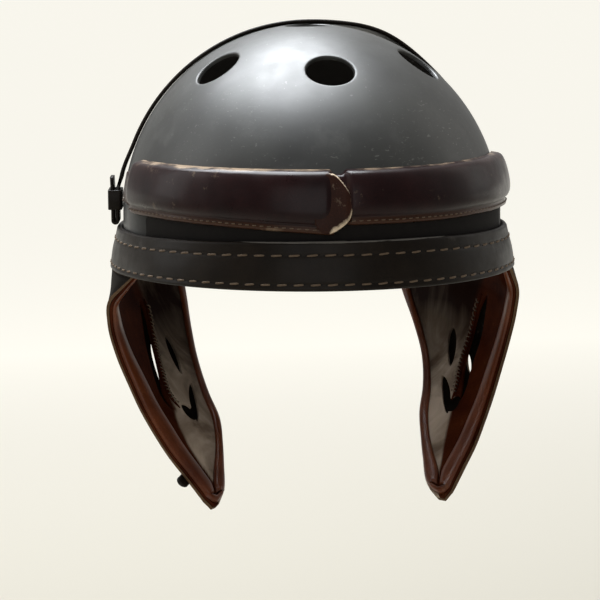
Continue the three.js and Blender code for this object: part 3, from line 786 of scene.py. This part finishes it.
def flap_chart(side, cuts):
    """Points and triangles of a flap's flat chart, with the slots left open."""
    rows, columns = FLAP_ROWS, FLAP_COLUMNS
    slots = [leaf_outline(side, slot) for slot in cuts]
    chart = [(c / columns, 0.0) for c in range(columns + 1)]
    chart += [(1.0, r / rows) for r in range(1, rows + 1)]
    chart += [(c / columns, 1.0) for c in range(columns - 1, -1, -1)]
    chart += [(0.0, r / rows) for r in range(rows - 1, 0, -1)]
    loops = [range(len(chart))]
    for outline in slots:
        loops.append(range(len(chart), len(chart) + len(outline)))
        chart += outline
    scale = [CHART_WIDTH, FLAP_DROP]
    cut = np.array([p for outline in slots for p in outline]) * scale
    for r in range(1, rows):
        for c in range(1, columns):
            p = (c / columns, r / rows)
            if np.min(np.linalg.norm(cut - np.array(p) * scale, axis=1)) < SLOT_CLEAR:
                continue
            if not any(inside(p, outline) for outline in slots):
                chart.append(p)
    edges = [(loop[i], loop[(i + 1) % len(loop)]) for loop in loops for i in range(len(loop))]
    verts, _, tris, _, _, _ = delaunay_2d_cdt([Vector(p) for p in chart], edges, [], 0, 1e-9)
    chart = [tuple(v) for v in verts]
    keep = []
    for tri in tris:
        middle = tuple(sum(chart[k][a] for k in tri) / 3 for a in (0, 1))
        if not any(inside(middle, outline) for outline in slots):
            keep.append(tri)
    return chart, keep


def flap_sheet(name, side, inner, outer, cuts, materials, edge_slot=0):
    """A layer of a flap with slots cut through it. edge_slot is the material of its cut edges."""
    chart, tris = flap_chart(side, cuts)
    front = [flap_offset(side, a, d, outer) for a, d in chart]
    back = [flap_offset(side, a, d, inner) for a, d in chart]
    n = len(chart)
    faces, face_slots, rim = [], [], {}
    for a, b, c in tris:
        if np.cross(front[b] - front[a], front[c] - front[a]) @ (front[a] - back[a]) < 0:
            b, c = c, b
        faces += [(a, b, c), (n + a, n + c, n + b)]
        face_slots += [0, 0]
        for edge in ((a, b), (b, c), (c, a)):
            if rim.pop(edge[::-1], None) is None:
                rim[edge] = True
    faces += [(b, a, n + a, n + b) for a, b in rim]
    face_slots += [edge_slot] * len(rim)
    rear = [float(smooth((a - float(np.interp(d, *REAR_LINES[side]))) / 0.05)) for a, d in chart]
    return make_piece(name, front + back, faces, materials, face_slots, {"rear": rear + rear})


def make_hem(side, leather):
    """The turned hem: a low rounded strip down the front edge, round the tip and up the rear."""
    base = LINING_FACE - 0.12
    route = [(0.0, d, 1, 0) for d in np.linspace(0, 0.965, 76)]
    route += [(a, 0.985 + 0.01 * math.sin(math.pi * a), 0, -1) for a in np.linspace(0.12, 0.88, 10)]
    route += [(1.0, d, -1, 0) for d in np.linspace(0.965, 0, 76)]
    rings = []
    for a, d, inward, upward in route:
        width = flap_width(side, d)
        rear = smooth((a - 0.3) / 0.7) * smooth((0.97 - d) / 0.2) if inward <= 0 else 0.0
        reach = min(HEM_WIDTH * (1 - 0.5 * rear), 0.46 * width)
        rise = HEM_LEATHER * (1 - 0.45 * rear)
        ring = []
        for t in [k / HEM_STEPS for k in range(HEM_STEPS + 1)]:
            lift = rise * (1 - abs(2 * t - 1) ** 2.6) ** 0.5
            step = 0.1 + t * reach
            across = min(max(a + inward * step / width, 0), 1)
            drop = min(max(d + upward * step / FLAP_DROP, 0), 1)
            ring.append(flap_offset(side, across, drop, base - lift))
        rings.append(ring)
    return loft_piece("hem_" + hand(side), rings, leather)


def roll_path(side):
    scale = np.array([flap_width(side, 0.4), FLAP_DROP])
    return [tuple(p / scale) for p in spline(np.array(RIDGES[side]) * scale, 44)]


def make_roll(side, leather):
    """The raised ridge beside the main ear slot, which tapers at both ends."""
    path = roll_path(side)
    points = [flap_offset(side, a, d, LINING_FACE - 0.1) for a, d in path]
    rings = []
    for i, (a, d) in enumerate(path):
        facing = -flap_facing(side, a, d)
        along = unit(points[min(i + 1, len(points) - 1)] - points[max(i - 1, 0)])
        aside = np.cross(along, facing)
        share = math.sin((i + 1) / (len(points) + 1) * math.pi) ** 0.5
        wide, high = ROLL_WIDTH / 2 * share, ROLL_HEIGHT * share
        ring = [(k / ROLL_STEPS * math.pi, points[i]) for k in range(ROLL_STEPS + 1)]
        rings.append([p + aside * (wide * math.cos(t)) + facing * (high * math.sin(t)) for t, p in ring])
    return loft_piece("ear_ridge_" + hand(side), rings, leather)


def make_stub(side, start_at, end_at, leather):
    """A chin strap end behind a flap's tip, rounded at both ends."""
    stand = GAP * 2 + FLAP_LEATHER + STUB_LEATHER / 2
    start = flap_offset(side, *start_at, stand)
    along = unit(flap_offset(side, *end_at, stand) - start)
    across = unit(np.cross(along, flap_facing(side, *start_at)))
    face = np.cross(across, along)
    rings = []
    for i in range(41):
        share = 0.5 - 0.5 * math.cos(math.pi * i / 40)
        from_end = min(share, 1 - share) * STUB_LENGTH
        r = min(1.0, (from_end + 0.15) / (STUB_WIDTH / 2))
        width, thick = STUB_WIDTH * math.sqrt(1 - (1 - r) ** 2), STUB_LEATHER * (0.75 + 0.25 * r)
        rings.append(strap_ring(start + along * share * STUB_LENGTH, face, across, width, thick))
    return loft_piece("chin_strap_" + hand(side), rings, leather)


def add_node(tree, kind, inputs=None, **settings):
    """A node with its settings made and its inputs linked or set."""
    made = tree.nodes.new(kind)
    for key, value in settings.items():
        setattr(made, key, value)
    for key, value in (inputs or {}).items():
        if isinstance(value, bpy.types.NodeSocket):
            tree.links.new(value, made.inputs[key])
        else:
            made.inputs[key].default_value = value
    return made


STITCH_SIZES = ("Pitch", "Stitch Length", "Thread Radius", "Lean")


def stitch_tree(thread, painted_hole_shade):
    """Stitches along a path whose points carry the way out of the leather as an attribute."""
    tree = bpy.data.node_groups.new("stitch row", "GeometryNodeTree")
    face = tree.interface
    face.new_socket("Geometry", in_out="INPUT", socket_type="NodeSocketGeometry")
    for name in STITCH_SIZES:
        face.new_socket(name, in_out="INPUT", socket_type="NodeSocketFloat")
    face.new_socket("Seed", in_out="INPUT", socket_type="NodeSocketInt").default_value = 4
    face.new_socket("Geometry", in_out="OUTPUT", socket_type="NodeSocketGeometry")
    start, end = tree.nodes.new("NodeGroupInput").outputs, tree.nodes.new("NodeGroupOutput")
    radius, lean = start["Thread Radius"], start["Lean"]

    def node(kind, inputs=None, **settings):
        return add_node(tree, kind, inputs, **settings).outputs

    def times(socket, factor):
        return node("ShaderNodeMath", {0: socket, 1: factor}, operation="MULTIPLY")[0]

    def spot(**places):
        return node("ShaderNodeCombineXYZ", places)[0]

    # The way each stitch lies: along the path, facing out, and leaning a little
    path = node("GeometryNodeMeshToCurve", {"Mesh": start["Geometry"]})[0]
    even = node("GeometryNodeResampleCurve", {"Curve": path, "Length": start["Pitch"]}, mode="LENGTH")[0]
    out = node("GeometryNodeInputNamedAttribute", {"Name": "out"}, data_type="FLOAT_VECTOR")["Attribute"]
    tangent = node("GeometryNodeInputTangent")[0]
    along = node("FunctionNodeAlignRotationToVector", {"Vector": tangent}, axis="X")[0]
    facing = node(
        "FunctionNodeAlignRotationToVector", {"Rotation": along, "Vector": out}, axis="Z", pivot_axis="X"
    )[0]
    limits = {2: times(lean, 0.3), 3: lean, "Seed": start["Seed"]}
    angle = node("FunctionNodeRandomValue", limits, data_type="FLOAT")[1]
    turn = node("FunctionNodeEulerToRotation", {0: spot(Z=angle)})[0]
    both = node("FunctionNodeRotateRotation", {0: facing, 1: turn}, rotation_space="LOCAL")[0]

    # One stitch: an arched thread that dives into the leather at both ends
    half = times(start["Stitch Length"], 0.5)
    minus = times(half, -1.0)
    sunk, high = times(radius, -1.6), times(radius, 2.4)
    ends = {"Start": spot(X=minus, Z=sunk), "Middle": spot(Z=high), "End": spot(X=half, Z=sunk)}
    arc = node("GeometryNodeCurveQuadraticBezier", {"Resolution": 7, **ends})[0]
    ring = node("GeometryNodeCurvePrimitiveCircle", {"Resolution": 7, "Radius": radius})[0]
    body = node("GeometryNodeCurveToMesh", {"Curve": arc, "Profile Curve": ring, "Fill Caps": True})[0]
    strand = node("GeometryNodeSetMaterial", {"Geometry": body, "Material": thread})[0]

    # A dark dot at each end: painted shade of a needle hole
    dot = node("GeometryNodeMeshUVSphere", {"Segments": 8, "Rings": 5, "Radius": times(radius, 1.35)})[0]
    dark = node("GeometryNodeSetMaterial", {"Geometry": dot, "Material": painted_hole_shade})[0]
    join = add_node(tree, "GeometryNodeJoinGeometry")
    for x in (minus, half):
        place = {"Translation": spot(X=x, Z=times(radius, -0.55)), "Scale": (1.0, 1.0, 0.5)}
        moved = node("GeometryNodeTransform", {"Geometry": dark, **place})[0]
        tree.links.new(moved, join.inputs["Geometry"])
    tree.links.new(strand, join.inputs["Geometry"])

    stitch = {"Points": even, "Instance": join.outputs["Geometry"], "Rotation": both}
    many = node("GeometryNodeInstanceOnPoints", stitch)[0]
    real = node("GeometryNodeRealizeInstances", {"Geometry": many})[0]
    tree.links.new(real, end.inputs["Geometry"])
    return tree


def stitch_row(name, row, tree, closed, sizes):
    """Stitches along a row of (point, way out) pairs in millimetres, as one plain mesh."""
    edges = [(i, i + 1) for i in range(len(row) - 1)]
    if closed:
        edges.append((len(row) - 1, 0))
    mesh = bpy.data.meshes.new(name)
    mesh.from_pydata([tuple(np.asarray(p) * MM) for p, _ in row], edges, [])
    layer = mesh.attributes.new("out", "FLOAT_VECTOR", "POINT")
    layer.data.foreach_set("vector", np.array([n for _, n in row], dtype=np.float32).ravel())
    piece = bpy.data.objects.new(name, mesh)
    bpy.context.scene.collection.objects.link(piece)
    modifier = piece.modifiers.new("stitch row", "NODES")
    modifier.node_group = tree
    for item in tree.interface.items_tree:
        if item.item_type == "SOCKET" and item.in_out == "INPUT" and item.name in STITCH_SIZES:
            modifier[item.identifier] = sizes[STITCH_SIZES.index(item.name)]
    bake(piece)
    piece.data.polygons.foreach_set("use_smooth", [True] * len(piece.data.polygons))
    return piece


def band_row(share):
    """A stitch row's path in its groove round the band, at a share of the band's height."""

    def at(az, share, turn=0.0, sink=0.0):
        return off_dome(az + turn, share * band_top(az), band_offset(az, share) - sink)

    row = []
    for i in range(BAND_STEPS * 2):
        az = math.pi * i / BAND_STEPS
        here = at(az, share, sink=0.22)
        ahead = at(az, share, turn=0.02) - here
        row.append((here, unit(np.cross(ahead, at(az, share + 0.05) - at(az, share - 0.05)))))
    return row


def welt_row(front, droop, side, seed):
    """A stitch row's path along the middle of a length's welt."""
    row = []
    for i in range(WELT_STEPS + 1):
        az = lerp(front + 0.02, PAD_REACH - 0.03, i / WELT_STEPS)
        bottom = pad_bottom(az, droop, front) + waves(az * 6, seed, PAD_SWAY)
        p = off_dome(az, bottom + 2.1, PAD_SEAT + 0.475 * PAD_THICK)
        n = np.array([math.sin(az) * HALF_DEPTH, -math.cos(az) * HALF_WIDTH, 0.0])
        row.append((p * [side, 1, 1], unit(n * [side, 1, 1])))
    return row


def ridge_row(side):
    """The crest of an ear slot's ridge, for the stitches that whip it."""
    path = roll_path(side)[3:-3]
    return [(flap_offset(side, a, d, LINING_FACE - ROLL_HEIGHT), -flap_facing(side, a, d)) for a, d in path]


def rgba(value):
    return (*value, 1.0) if isinstance(value, tuple) else value


class Maker:
    """Builds a material's nodes with few words."""

    def __init__(self, name):
        self.material = bpy.data.materials.new(name)
        self.material.use_nodes = True
        self.tree = self.material.node_tree
        self.shader = self.tree.nodes["Principled BSDF"]
        self.place = self.tree.nodes.new("ShaderNodeTexCoord").outputs["Object"]

    def node(self, kind, inputs=None, **settings):
        return add_node(self.tree, kind, inputs, **settings).outputs

    def noise(self, scale, detail=4, roughness=0.55, stretch=None, distortion=0.0):
        where = self.place
        if stretch:
            where = self.node("ShaderNodeMapping", {"Vector": where, "Scale": stretch})[0]
        inputs = {"Vector": where, "Scale": scale, "Detail": detail, "Roughness": roughness}
        return self.node("ShaderNodeTexNoise", {**inputs, "Distortion": distortion})["Fac"]

    def pores(self):
        inputs = {"Vector": self.place, "Scale": 900}
        return self.node("ShaderNodeTexVoronoi", inputs, feature="DISTANCE_TO_EDGE")["Distance"]

    def ramp(self, value, low, high, start=0.0, end=1.0):
        inputs = {"Value": value, "From Min": low, "From Max": high, "To Min": start, "To Max": end}
        return self.node("ShaderNodeMapRange", inputs)[0]

    def mix(self, factor, one, two):
        return self.node("ShaderNodeMix", {0: factor, 6: rgba(one), 7: rgba(two)}, data_type="RGBA")[2]

    def times(self, one, two, operation="MULTIPLY"):
        return self.node("ShaderNodeMath", {0: one, 1: two}, operation=operation)[0]

    def attribute(self, name):
        return self.node("ShaderNodeAttribute", attribute_name=name)["Fac"]

    def height(self):
        return self.node("ShaderNodeSeparateXYZ", {"Vector": self.place})

    def bump(self, height, strength, distance, onto=None):
        inputs = {"Height": height, "Strength": strength, "Distance": distance * MM}
        if onto is not None:
            inputs["Normal"] = onto
        return self.node("ShaderNodeBump", inputs)[0]

    def finish(self, color, roughness, normal=None, **constants):
        for key, value in (("Base Color", color), ("Roughness", roughness), ("Normal", normal)):
            if isinstance(value, bpy.types.NodeSocket):
                self.tree.links.new(value, self.shader.inputs[key])
            elif value is not None:
                self.shader.inputs[key].default_value = value
        for key, value in constants.items():
            self.shader.inputs[key.replace("_", " ")].default_value = value
        return self.material


def dome_fibre():
    """Satin black fibre with a mottled sheen, dust specks, scuffs on its lower half, and painted shade
    between the padding and the band.
    """
    m = Maker("satin black fibre")
    _, y, z = m.height()
    cloud = m.noise(14, 5, 0.6)
    mottle = m.noise(60, 6, 0.7)
    color = m.mix(m.ramp(cloud, 0.35, 0.75), (0.007, 0.0075, 0.007), (0.026, 0.026, 0.022))
    color = m.mix(m.ramp(mottle, 0.56, 0.70, 0.0, 0.55), color, (0.045, 0.045, 0.040))
    dust = m.ramp(m.noise(300, 3, 0.7), 0.66, 0.72)
    color = m.mix(m.times(dust, 0.5), color, (0.13, 0.13, 0.12))
    scratches = m.ramp(m.noise(260, 2, 0.5, stretch=(0.8, 1.0, 2.6), distortion=1.2), 0.66, 0.71)
    patch = m.times(m.ramp(m.noise(26, 3, 0.5), 0.47, 0.6), m.ramp(z, SCUFFS_NONE * MM, SCUFFS_FULL * MM))
    color = m.mix(m.times(m.times(scratches, patch), 0.5), color, (0.20, 0.20, 0.18))
    rough = m.times(m.ramp(cloud, 0.3, 0.8, 0.42, 0.55), m.ramp(mottle, 0.35, 0.7, -0.05, 0.07), "ADD")
    # Painted shade: near black and dull between the padding and the band, for the padding's shadow
    low = m.ramp(z, (PAD_BOTTOM + 8) * MM, PAD_BOTTOM * MM)
    under = m.times(low, m.ramp(y, -0.1 * HALF_DEPTH * MM, -0.35 * HALF_DEPTH * MM))
    color = m.mix(under, color, (0.002, 0.0018, 0.0016))
    rough = m.ramp(under, 0, 1, rough, 0.95)
    grain = m.bump(m.noise(420, 3, 0.6), 0.16, 0.15)
    normal = m.bump(m.noise(34, 4, 0.6), 0.22, 0.5, grain)
    return m.finish(color, rough, normal, Specular_IOR_Level=0.75, Coat_Weight=0.08, Coat_Roughness=0.3)


def rear_panel(m, color, roughness):
    """The flap's rear panel: plain hide, coloured with a painted pale reflection in streaks, and painted
    shade that darkens it towards the band.
    """
    panel = m.attribute("rear")
    streaks = m.ramp(m.noise(30, 5, 0.6, stretch=(1.0, 1.0, 0.35), distortion=0.8), 0.36, 0.64)
    painted_reflection = m.mix(streaks, (0.20, 0.145, 0.105), (0.56, 0.45, 0.35))
    # Painted shade: darker towards the band
    down = m.ramp(m.height()[2], PANEL_DARK * MM, PANEL_PALE * MM)
    shade = m.times(down, m.ramp(streaks, 0, 1, -0.10, 0.12), "ADD")
    painted_reflection = m.mix(m.ramp(shade, 0, 1), (0.014, 0.0055, 0.0035), painted_reflection)
    return m.mix(panel, color, painted_reflection), m.times(roughness, m.ramp(panel, 0, 1, 1.0, 0.8))


def leather(
    name, dark, light, worn, rough, grain=0.25, wear_and_highlight_at=None, welt=None, rear=False, spec=0.5, coat=0.0
):
    """Smooth hide: fine pebbles, soft creases, colour that wanders, and scuffs. The wear mask can also
    carry a painted highlight, and rear adds a painted reflection and painted shade.
    """
    m = Maker(name)
    wander = m.noise(38, 5, 0.62)
    color = m.mix(m.ramp(wander, 0.3, 0.72), dark, light)
    pores = m.pores()
    color = m.mix(m.times(m.ramp(pores, 0.0, 0.25, 1.0, 0.0), 0.35), color, tuple(c * 0.4 for c in dark))
    scuff_and_highlight = m.times(m.ramp(m.noise(70, 6, 0.72), 0.60, 0.72), m.ramp(m.noise(18, 2, 0.5), 0.5, 0.66))
    # Wear along a mask, which on the band is a painted highlight
    if wear_and_highlight_at is not None:
        ragged = m.times(wear_and_highlight_at(m), m.ramp(m.noise(55, 6, 0.7), 0.2, 0.75))
        scuff_and_highlight = m.times(m.times(scuff_and_highlight, 0.5), m.ramp(ragged, 0.28, 0.5), "MAXIMUM")
    if welt is not None:
        color = m.mix(m.attribute("welt"), color, welt)
    color = m.mix(scuff_and_highlight, color, worn)
    roughness = m.ramp(m.noise(90, 4, 0.6), 0.3, 0.75, rough - 0.08, rough + 0.1)
    if rear:
        color, roughness = rear_panel(m, color, roughness)
    fine = m.bump(pores, grain, 0.12)
    creases = m.bump(m.noise(120, 5, 0.65, distortion=0.6), grain * 0.6, 0.5, fine)
    return m.finish(
        color, roughness, creases, Coat_Weight=coat, Coat_Roughness=0.18, Specular_IOR_Level=spec
    )


def plain_finish(name, color, second, rough, scale=300, bump=0.2, spec=0.3):
    m = Maker(name)
    tone = m.noise(scale, 4, 0.6)
    return m.finish(m.mix(tone, color, second), rough, m.bump(tone, bump, 0.2), Specular_IOR_Level=spec)


def pad_wear(m):
    """More wear along the padding's top edge, most on the wearer's right, and along its welt."""
    x, _, z = m.height()
    top = m.ramp(z, (PAD_BOTTOM + PAD_HEIGHT - 2.0) * MM, (PAD_BOTTOM + PAD_HEIGHT + 0.2) * MM)
    top = m.times(top, m.ramp(x, -0.30 * HALF_WIDTH * MM, -0.55 * HALF_WIDTH * MM, 0.62, 1.15))
    low = m.ramp(z, (PAD_BOTTOM + 0.8) * MM, (PAD_BOTTOM - 1.6) * MM)
    return m.times(top, m.times(low, 0.42), "MAXIMUM")


def tongue_wear(m):
    return m.attribute("wear")


def band_edge_painted_highlight(m):
    """A painted highlight: the band's top edge is painted pale across the front."""
    _, y, z = m.height()
    top = m.ramp(z, (BAND_FRONT - 1.2) * MM, (BAND_FRONT - 0.3) * MM)
    return m.times(top, m.ramp(y, -0.5 * HALF_DEPTH * MM, -0.95 * HALF_DEPTH * MM, 0.2, 2.2))


fibre = dome_fibre()
# Its worn colour serves the real scuffs and the painted highlight along the band's top edge.
black = leather(
    "black leather",
    dark=(0.0070, 0.0044, 0.0028), light=(0.016, 0.0104, 0.0062), worn=(0.17, 0.16, 0.145),
    rough=0.44, grain=0.3, wear_and_highlight_at=band_edge_painted_highlight, spec=0.15, coat=0.05,
)
oxblood = leather(
    "oxblood leather",
    dark=(0.0085, 0.0022, 0.0030), light=(0.024, 0.0064, 0.0066), worn=(0.33, 0.24, 0.16),
    rough=0.34, grain=0.22, wear_and_highlight_at=pad_wear, welt=(0.050, 0.019, 0.009), spec=0.14, coat=0.16,
)
tongue_hide = leather(
    "brown lap leather",
    dark=(0.022, 0.006, 0.003), light=(0.050, 0.015, 0.007), worn=(0.70, 0.56, 0.40),
    rough=0.42, wear_and_highlight_at=tongue_wear, spec=0.14,
)
skin_hide = leather(
    "black flap leather",
    dark=(0.005, 0.0038, 0.0028), light=(0.012, 0.009, 0.0065), worn=(0.05, 0.035, 0.025),
    rough=0.5, grain=0.35, spec=0.0, coat=0.08,
)
# rear gives the flaps' rear panels a painted reflection and painted shade.
lining_hide = leather(
    "red-brown lining",
    dark=(0.030, 0.0055, 0.0022), light=(0.085, 0.020, 0.0070), worn=(0.13, 0.05, 0.02),
    rough=0.36, rear=True, spec=0.0, coat=0.03,
)
hem_hide = leather(
    "red-brown hem",
    dark=(0.085, 0.020, 0.007), light=(0.200, 0.055, 0.019), worn=(0.24, 0.11, 0.055),
    rough=0.36, spec=0.28, coat=0.08,
)
raw_edge = plain_finish("cut leather edge", (0.16, 0.09, 0.04), (0.06, 0.03, 0.015), rough=0.75)
thread = plain_finish(
    "waxed thread", (0.18, 0.128, 0.082), (0.085, 0.055, 0.036), rough=0.6, scale=900, bump=0.4
)
# Painted shade: near-black dots that stand in for the needle holes' shade
painted_hole_shade = plain_finish("needle hole", (0.004, 0.003, 0.003), (0.008, 0.006, 0.005), rough=0.9)
# The inside of the dome: its own dull black, darkened further as painted shade for the head that fills the
# helmet. It also serves as painted shade under the front padding.
black_inside_and_shade = plain_finish(
    "dull black inside and painted shade", (0.006, 0.005, 0.005), (0.012, 0.010, 0.009), rough=0.8, spec=0.15
)

root = "root"
dome = make_dome(fibre, black_inside_and_shade)
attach(dome, root)
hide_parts("dome_shell")

band = make_band(black)
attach(band, root)
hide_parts("rim_band")

pad_right = make_right_pad(oxblood)
tongue = make_tongue(tongue_hide)
pad_left = make_left_pad(oxblood)
for pad, node in ((pad_right, "bumper_right"), (tongue, "bumper_right"), (pad_left, "bumper_left")):
    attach(pad, root)
    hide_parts(node)

strap = make_strap(black)
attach(strap, root)
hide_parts("crown_strap")

for side in (-1, 1):
    name = hand(side)
    keeper = make_loop(side, black)
    skin = flap_sheet(
        "flap_skin_" + name, side, GAP / 2, GAP / 2 + FLAP_LEATHER, SKIN_SLOTS[side],
        [skin_hide, raw_edge], edge_slot=1,
    )
    bevel(skin, 0.45)
    lining = flap_sheet("flap_lining_" + name, side, LINING_FACE, -GAP / 2, ear_slots(side), [lining_hide])
    bevel(lining, 0.4)
    hem = make_hem(side, hem_hide)
    ridge = make_roll(side, lining_hide)
    stub = make_stub(side, *STUBS[side], black)
    for piece, node in (
        (keeper, "strap_loop_"), (skin, "ear_flap_"), (lining, "ear_lining_"),
        (hem, "flap_hem_"), (ridge, "ear_roll_"), (stub, "chin_strap_end_"),
    ):
        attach(piece, root)
        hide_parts(node + name)

# Each stitch row's path and whether it is closed, then its pitch, stitch length, thread radius and lean
STITCH_ROWS = {
    "band_stitches_upper": (band_row(UPPER_ROW), True, 0.0096, 0.0068, 0.00058, 0.12),
    "band_stitches_lower": (band_row(LOWER_ROW), True, 0.0090, 0.0062, 0.00058, 0.12),
    "welt_stitches_right": (
        welt_row(-SEAM, LAP_DROOP, -1, RIGHT_SEED + 1), False, 0.0040, 0.0027, 0.00034, 0.12
    ),
    "welt_stitches_left": (
        welt_row(SEAM, 0.0, 1, LEFT_SEED + 1), False, 0.0040, 0.0027, 0.00034, 0.12
    ),
    "ridge_stitches_right": (ridge_row(-1), False, 0.0026, 0.0034, 0.00036, 1.35),
    "ridge_stitches_left": (ridge_row(1), False, 0.0026, 0.0034, 0.00036, 1.35),
}
stitches = stitch_tree(thread, painted_hole_shade)
for name, (path, closed, *sizes) in STITCH_ROWS.items():
    row = stitch_row(name, path, stitches, closed, sizes)
    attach(row, root)


def make_floor():
    """A pale floor that glows, more towards the back: painted light standing in for a backdrop lit from
    behind.
    """
    size, level = 40.0, -0.30
    corners = [(-size, -size, level), (size, -size, level), (size, size, level), (-size, size, level)]
    mesh = bpy.data.meshes.new("floor")
    mesh.from_pydata(corners, [], [(0, 1, 2, 3)])
    m = Maker("pale floor")
    m.finish(m.mix(m.noise(0.8, 2), (0.26, 0.24, 0.195), (0.275, 0.255, 0.21)), 0.9)
    # Painted light: the floor glows, more strongly towards the back
    painted_floor_glow = m.ramp(m.height()[1], 0.3, 1.9, 0.18, 0.81)
    m.tree.links.new(painted_floor_glow, m.shader.inputs["Emission Strength"])
    m.shader.inputs["Emission Color"].default_value = (1.0, 0.985, 0.915, 1.0)
    mesh.materials.append(m.material)
    floor = bpy.data.objects.new("floor", mesh)
    bpy.context.scene.collection.objects.link(floor)


def make_world():
    """Pale studio surroundings, brightest overhead and dim in front of the object."""
    world = bpy.data.worlds.new("studio")
    world.use_nodes = True
    tree = world.node_tree
    where = tree.nodes.new("ShaderNodeTexCoord").outputs["Generated"]
    split = add_node(tree, "ShaderNodeSeparateXYZ", {0: where}).outputs

    def span(socket, low, high, start, end):
        inputs = {"Value": socket, "From Min": low, "From Max": high, "To Min": start, "To Max": end}
        return add_node(tree, "ShaderNodeMapRange", inputs, interpolation_type="SMOOTHSTEP").outputs[0]

    up, back = span(split["Z"], 0.0, 0.75, 0.4, 0.55), span(split["Y"], -0.7, 0.3, 0.35, 1.0)
    strength = add_node(tree, "ShaderNodeMath", {0: up, 1: back}, operation="MULTIPLY").outputs[0]
    background = tree.nodes["Background"].inputs
    tree.links.new(strength, background["Strength"])
    background["Color"].default_value = (1.0, 0.985, 0.94, 1.0)
    bpy.context.scene.world = world


# Each soft light's place and aim, its width and height, its power and its colour
LIGHTS = {
    "overhead": ((-0.16, 0.40, 1.15), (0, 0, 0.1), (0.9, 1.0), 42, (0.92, 0.96, 1.0)),
    "front": ((-0.4, -1.9, 0.5), (0, 0, 0.0), (1.8, 1.3), 6, (1.0, 1.0, 1.0)),
    "left side": ((-1.6, 0.5, 0.7), (0, 0, 0), (0.7, 1.2), 4, (1.0, 1.0, 1.0)),
    "right side": ((1.6, 0.5, 0.7), (0, 0, 0), (0.7, 1.2), 1.5, (1.0, 0.97, 0.92)),
}


def soft_light(name, place, aim, size, power, color):
    data = bpy.data.lights.new(name, "AREA")
    data.shape = "RECTANGLE"
    data.size, data.size_y = size
    data.energy = power
    data.color = color
    lamp = bpy.data.objects.new(name, data)
    lamp.location = place
    lamp.rotation_euler = (Vector(aim) - Vector(place)).to_track_quat("-Z", "Y").to_euler()
    bpy.context.scene.collection.objects.link(lamp)


def make_camera():
    """The photograph's angle, distance and framing."""
    yaw, rise, roll = math.radians(-8.67), math.radians(6.35), math.radians(0.69)
    distance, aim_right, aim_up = 2.2, -0.00656, -0.0199
    back = Vector((math.sin(yaw) * math.cos(rise), -math.cos(yaw) * math.cos(rise), math.sin(rise)))
    right = Vector((math.cos(yaw), math.sin(yaw), 0))
    up = back.cross(right)
    right, up = math.cos(roll) * right - math.sin(roll) * up, math.sin(roll) * right + math.cos(roll) * up
    place = back * distance
    back = (place - (right * aim_right + up * aim_up)).normalized()
    right = up.cross(back).normalized()
    up = back.cross(right)
    data = bpy.data.cameras.new("camera")
    data.lens, data.sensor_width = 237.3, 36.0
    data.clip_end = 200
    camera = bpy.data.objects.new("camera", data)
    turn = Matrix((right, up, back)).transposed()
    camera.matrix_world = Matrix.Translation(place) @ turn.to_4x4()
    bpy.context.scene.collection.objects.link(camera)
    bpy.context.scene.camera = camera


make_floor()
make_world()
for name, settings in LIGHTS.items():
    soft_light(name, *settings)
make_camera()
bpy.context.scene.view_settings.view_transform = "Standard"
